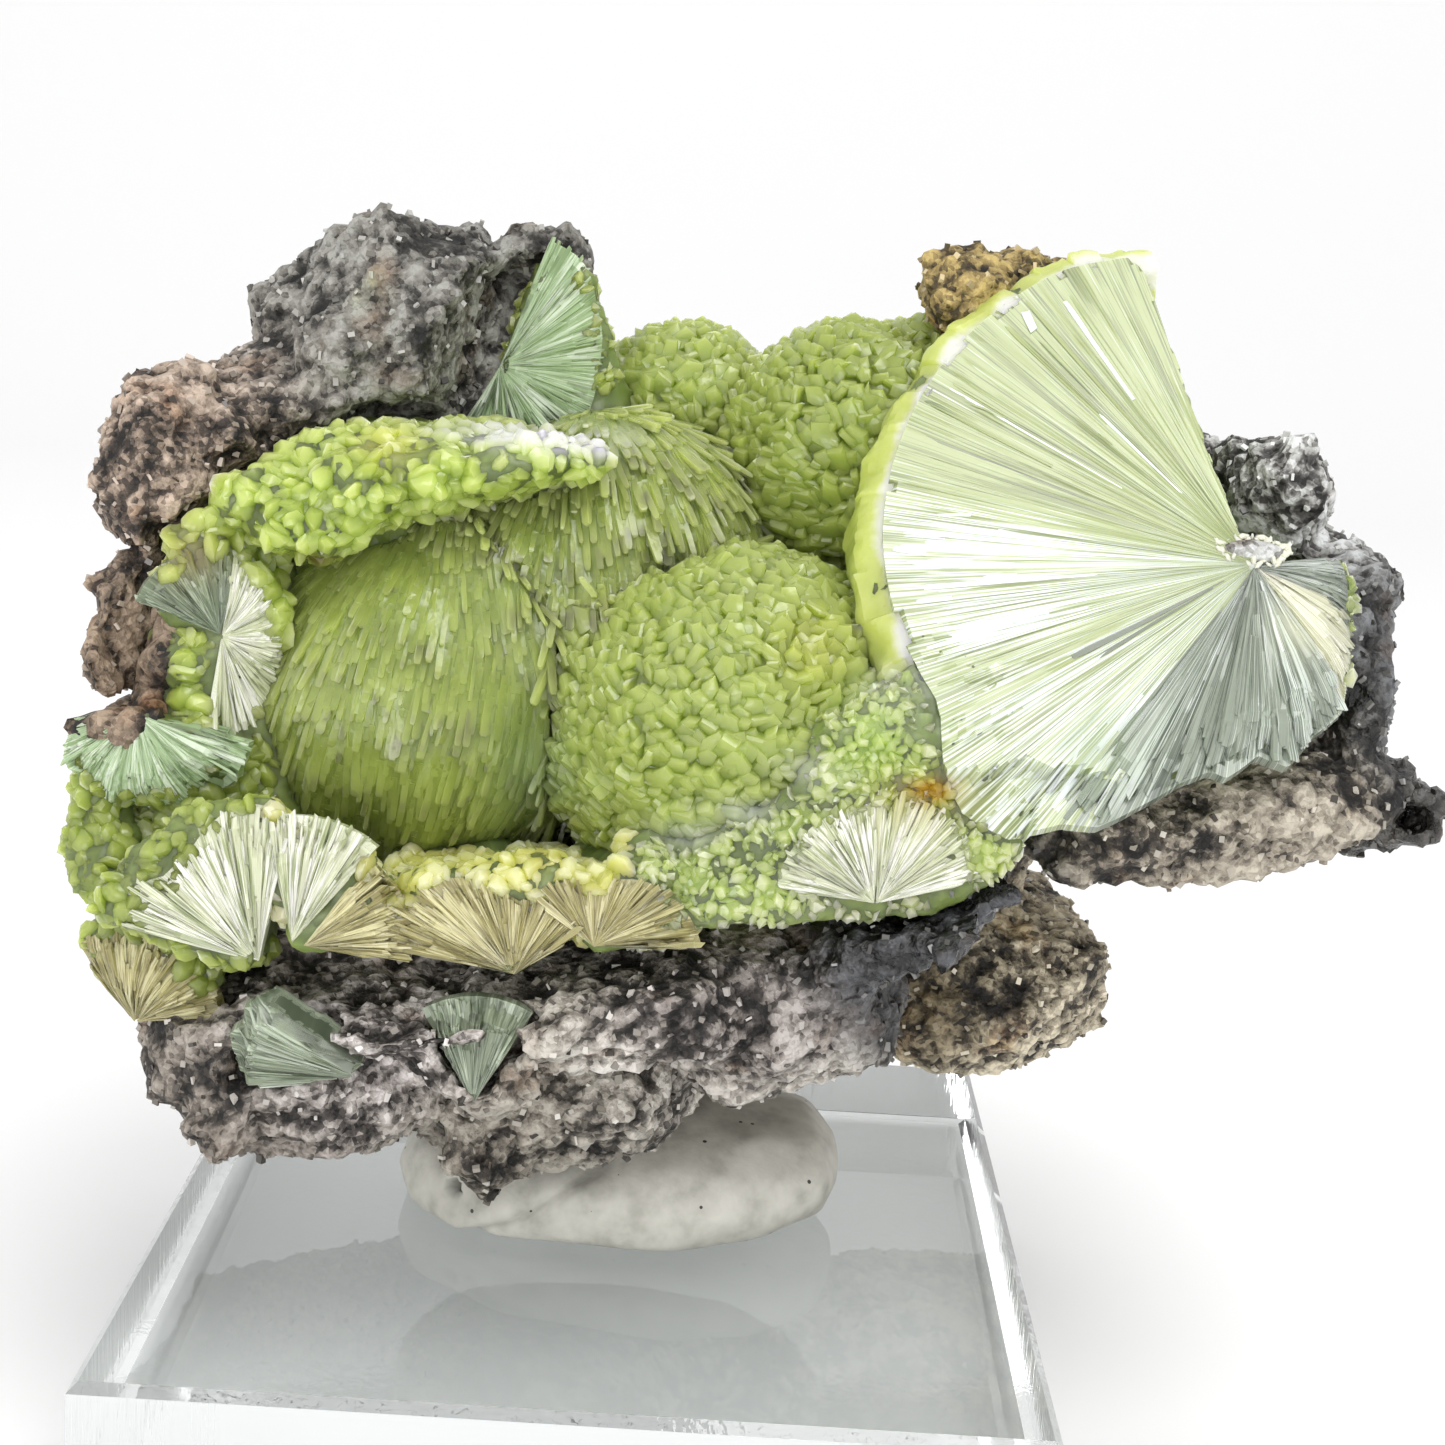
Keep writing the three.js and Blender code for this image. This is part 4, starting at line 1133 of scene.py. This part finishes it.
place = add(nodes, "ShaderNodeTexCoord").outputs["Object"]
cloud = clouds(nodes, place, 1.4, 6)
tint = ramp(nodes, cloud, (0.3, "#a8a69c"), (0.5, "#c4c2b8"), (0.7, "#d2d0c6"))
dust = cells(nodes, place, 0.55)
speck = add(nodes, "ShaderNodeSeparateColor", {"Color": dust["Color"]}).outputs[0]
near = reckon(nodes, "LESS_THAN", dust["Distance"], 0.18)
few = reckon(nodes, "GREATER_THAN", speck, 0.93)
few = reckon(nodes, "MULTIPLY", few, near)
# painted shade: the fold and the pit are painted dark by their depth; the dust specks share the dark colour
hollow = stored(nodes, "hollow")
dark = spread(nodes, hollow, 0.2, 0.7)
dark = reckon(nodes, "MAXIMUM", dark, few)
tint = mixed(nodes, dark, tint, linear("#3c3a34"))
nodes.links.new(tint, shader.inputs["Base Color"])
fine = clouds(nodes, place, 0.3, 3)
roughen(nodes, shader, (fine, 0.05, 0.5))
putty.data.materials.append(white_putty)
finish_piece(putty, "putty")

# Acrylic base: a clear block of cast acrylic, sawn to size and polished on top. It absorbs next to
# nothing, and its sides keep the saw's waves, so that edges and sides glitter.
clear, nodes, shader = start_material("cast acrylic", Roughness=0.02, IOR=1.49, Transmission_Weight=1.0)
shader.inputs["Base Color"].default_value = linear("#fafdfc")
place = add(nodes, "ShaderNodeTexCoord").outputs["Object"]
across = add(nodes, "ShaderNodeVectorMath", {0: place, 1: (2600, 2600, 120)}, operation="MULTIPLY").outputs[0]
sawn = add(nodes, "ShaderNodeTexNoise", {"Vector": across, "Scale": 1.0, "Detail": 2}).outputs["Fac"]
facing = add(nodes, "ShaderNodeNewGeometry").outputs["Normal"]
upright = add(nodes, "ShaderNodeSeparateXYZ", {0: facing}).outputs[2]
side = spread(nodes, upright, 0.9, 0.1)
wave = reckon(nodes, "MULTIPLY", sawn, side)
roughen(nodes, shader, (wave, 0.06, 0.5))
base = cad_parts["acrylic_base"]
base.data.materials.clear()
base.data.materials.append(clear)

# Stage: a white paper sweep, three softboxes and a pale room, as for a photograph of a small
# mineral on white. The camera stands in front, a little above, and is rolled as the photograph is.
floor_mesh = bpy.data.meshes.new("sweep")
profile = [(-0.5, 0.0)] + [
    (0.35 + 0.25 * math.sin(a), 0.25 - 0.25 * math.cos(a)) for a in np.linspace(0, math.pi / 2, 24)
] + [(0.6, 0.9)]
verts = [(x, y, z - 0.0002) for y, z in profile for x in (-0.9, 0.9)]
faces = [(2 * i, 2 * i + 1, 2 * i + 3, 2 * i + 2) for i in range(len(profile) - 1)]
floor_mesh.from_pydata(verts, [], faces)
floor = new_piece("floor_sweep", floor_mesh)
paper, nodes, shader = start_material("white paper sweep", Roughness=0.9)
shader.inputs["Base Color"].default_value = (0.97, 0.97, 0.97, 1)
floor_mesh.materials.append(paper)
floor_mesh.polygons.foreach_set("use_smooth", [True] * len(floor_mesh.polygons))

world = bpy.data.worlds.new("studio")
world.use_nodes = True
world.node_tree.nodes["Background"].inputs["Color"].default_value = (1, 1, 1, 1)
world.node_tree.nodes["Background"].inputs["Strength"].default_value = 0.85
bpy.context.scene.world = world

for name, at, size, power in (
    ("key softbox", (0.1, -0.2, 0.4), 0.2, 0.8),
    ("left softbox", (-0.35, -0.25, 0.2), 0.3, 0.3),
    ("front fill", (-0.08, -0.42, 0.02), 0.2, 0.7),
):
    light = bpy.data.lights.new(name, "AREA")
    light.shape = "SQUARE"
    light.size = size
    light.energy = power
    lamp = bpy.data.objects.new(name, light)
    lamp.location = at
    lamp.rotation_euler = (Vector((0, 0, 0.03)) - Vector(at)).to_track_quat("-Z", "Y").to_euler()
    bpy.context.scene.collection.objects.link(lamp)

bpy.context.scene.view_settings.view_transform = "Standard"

LENS, CAMERA_AT = 56.06, (3.99, -100.87, 57.82)
PITCH, YAW, ROLL = 0.2316, 0.0052, 0.0647
camera = bpy.data.objects.new("camera", bpy.data.cameras.new("camera"))
camera.data.lens = LENS
camera.data.sensor_width = 36
ahead = Vector((math.sin(YAW) * math.cos(PITCH), math.cos(YAW) * math.cos(PITCH), -math.sin(PITCH)))
across = Vector((math.cos(YAW), -math.sin(YAW), 0))
upward = across.cross(ahead)
right = math.cos(ROLL) * across + math.sin(ROLL) * upward
top = -math.sin(ROLL) * across + math.cos(ROLL) * upward
turned = Matrix((right, top, -ahead)).transposed().to_4x4()
camera.matrix_world = Matrix.Translation(Vector(CAMERA_AT) * MM) @ turned
camera.data.clip_start = 0.001
bpy.context.scene.collection.objects.link(camera)
bpy.context.scene.camera = camera
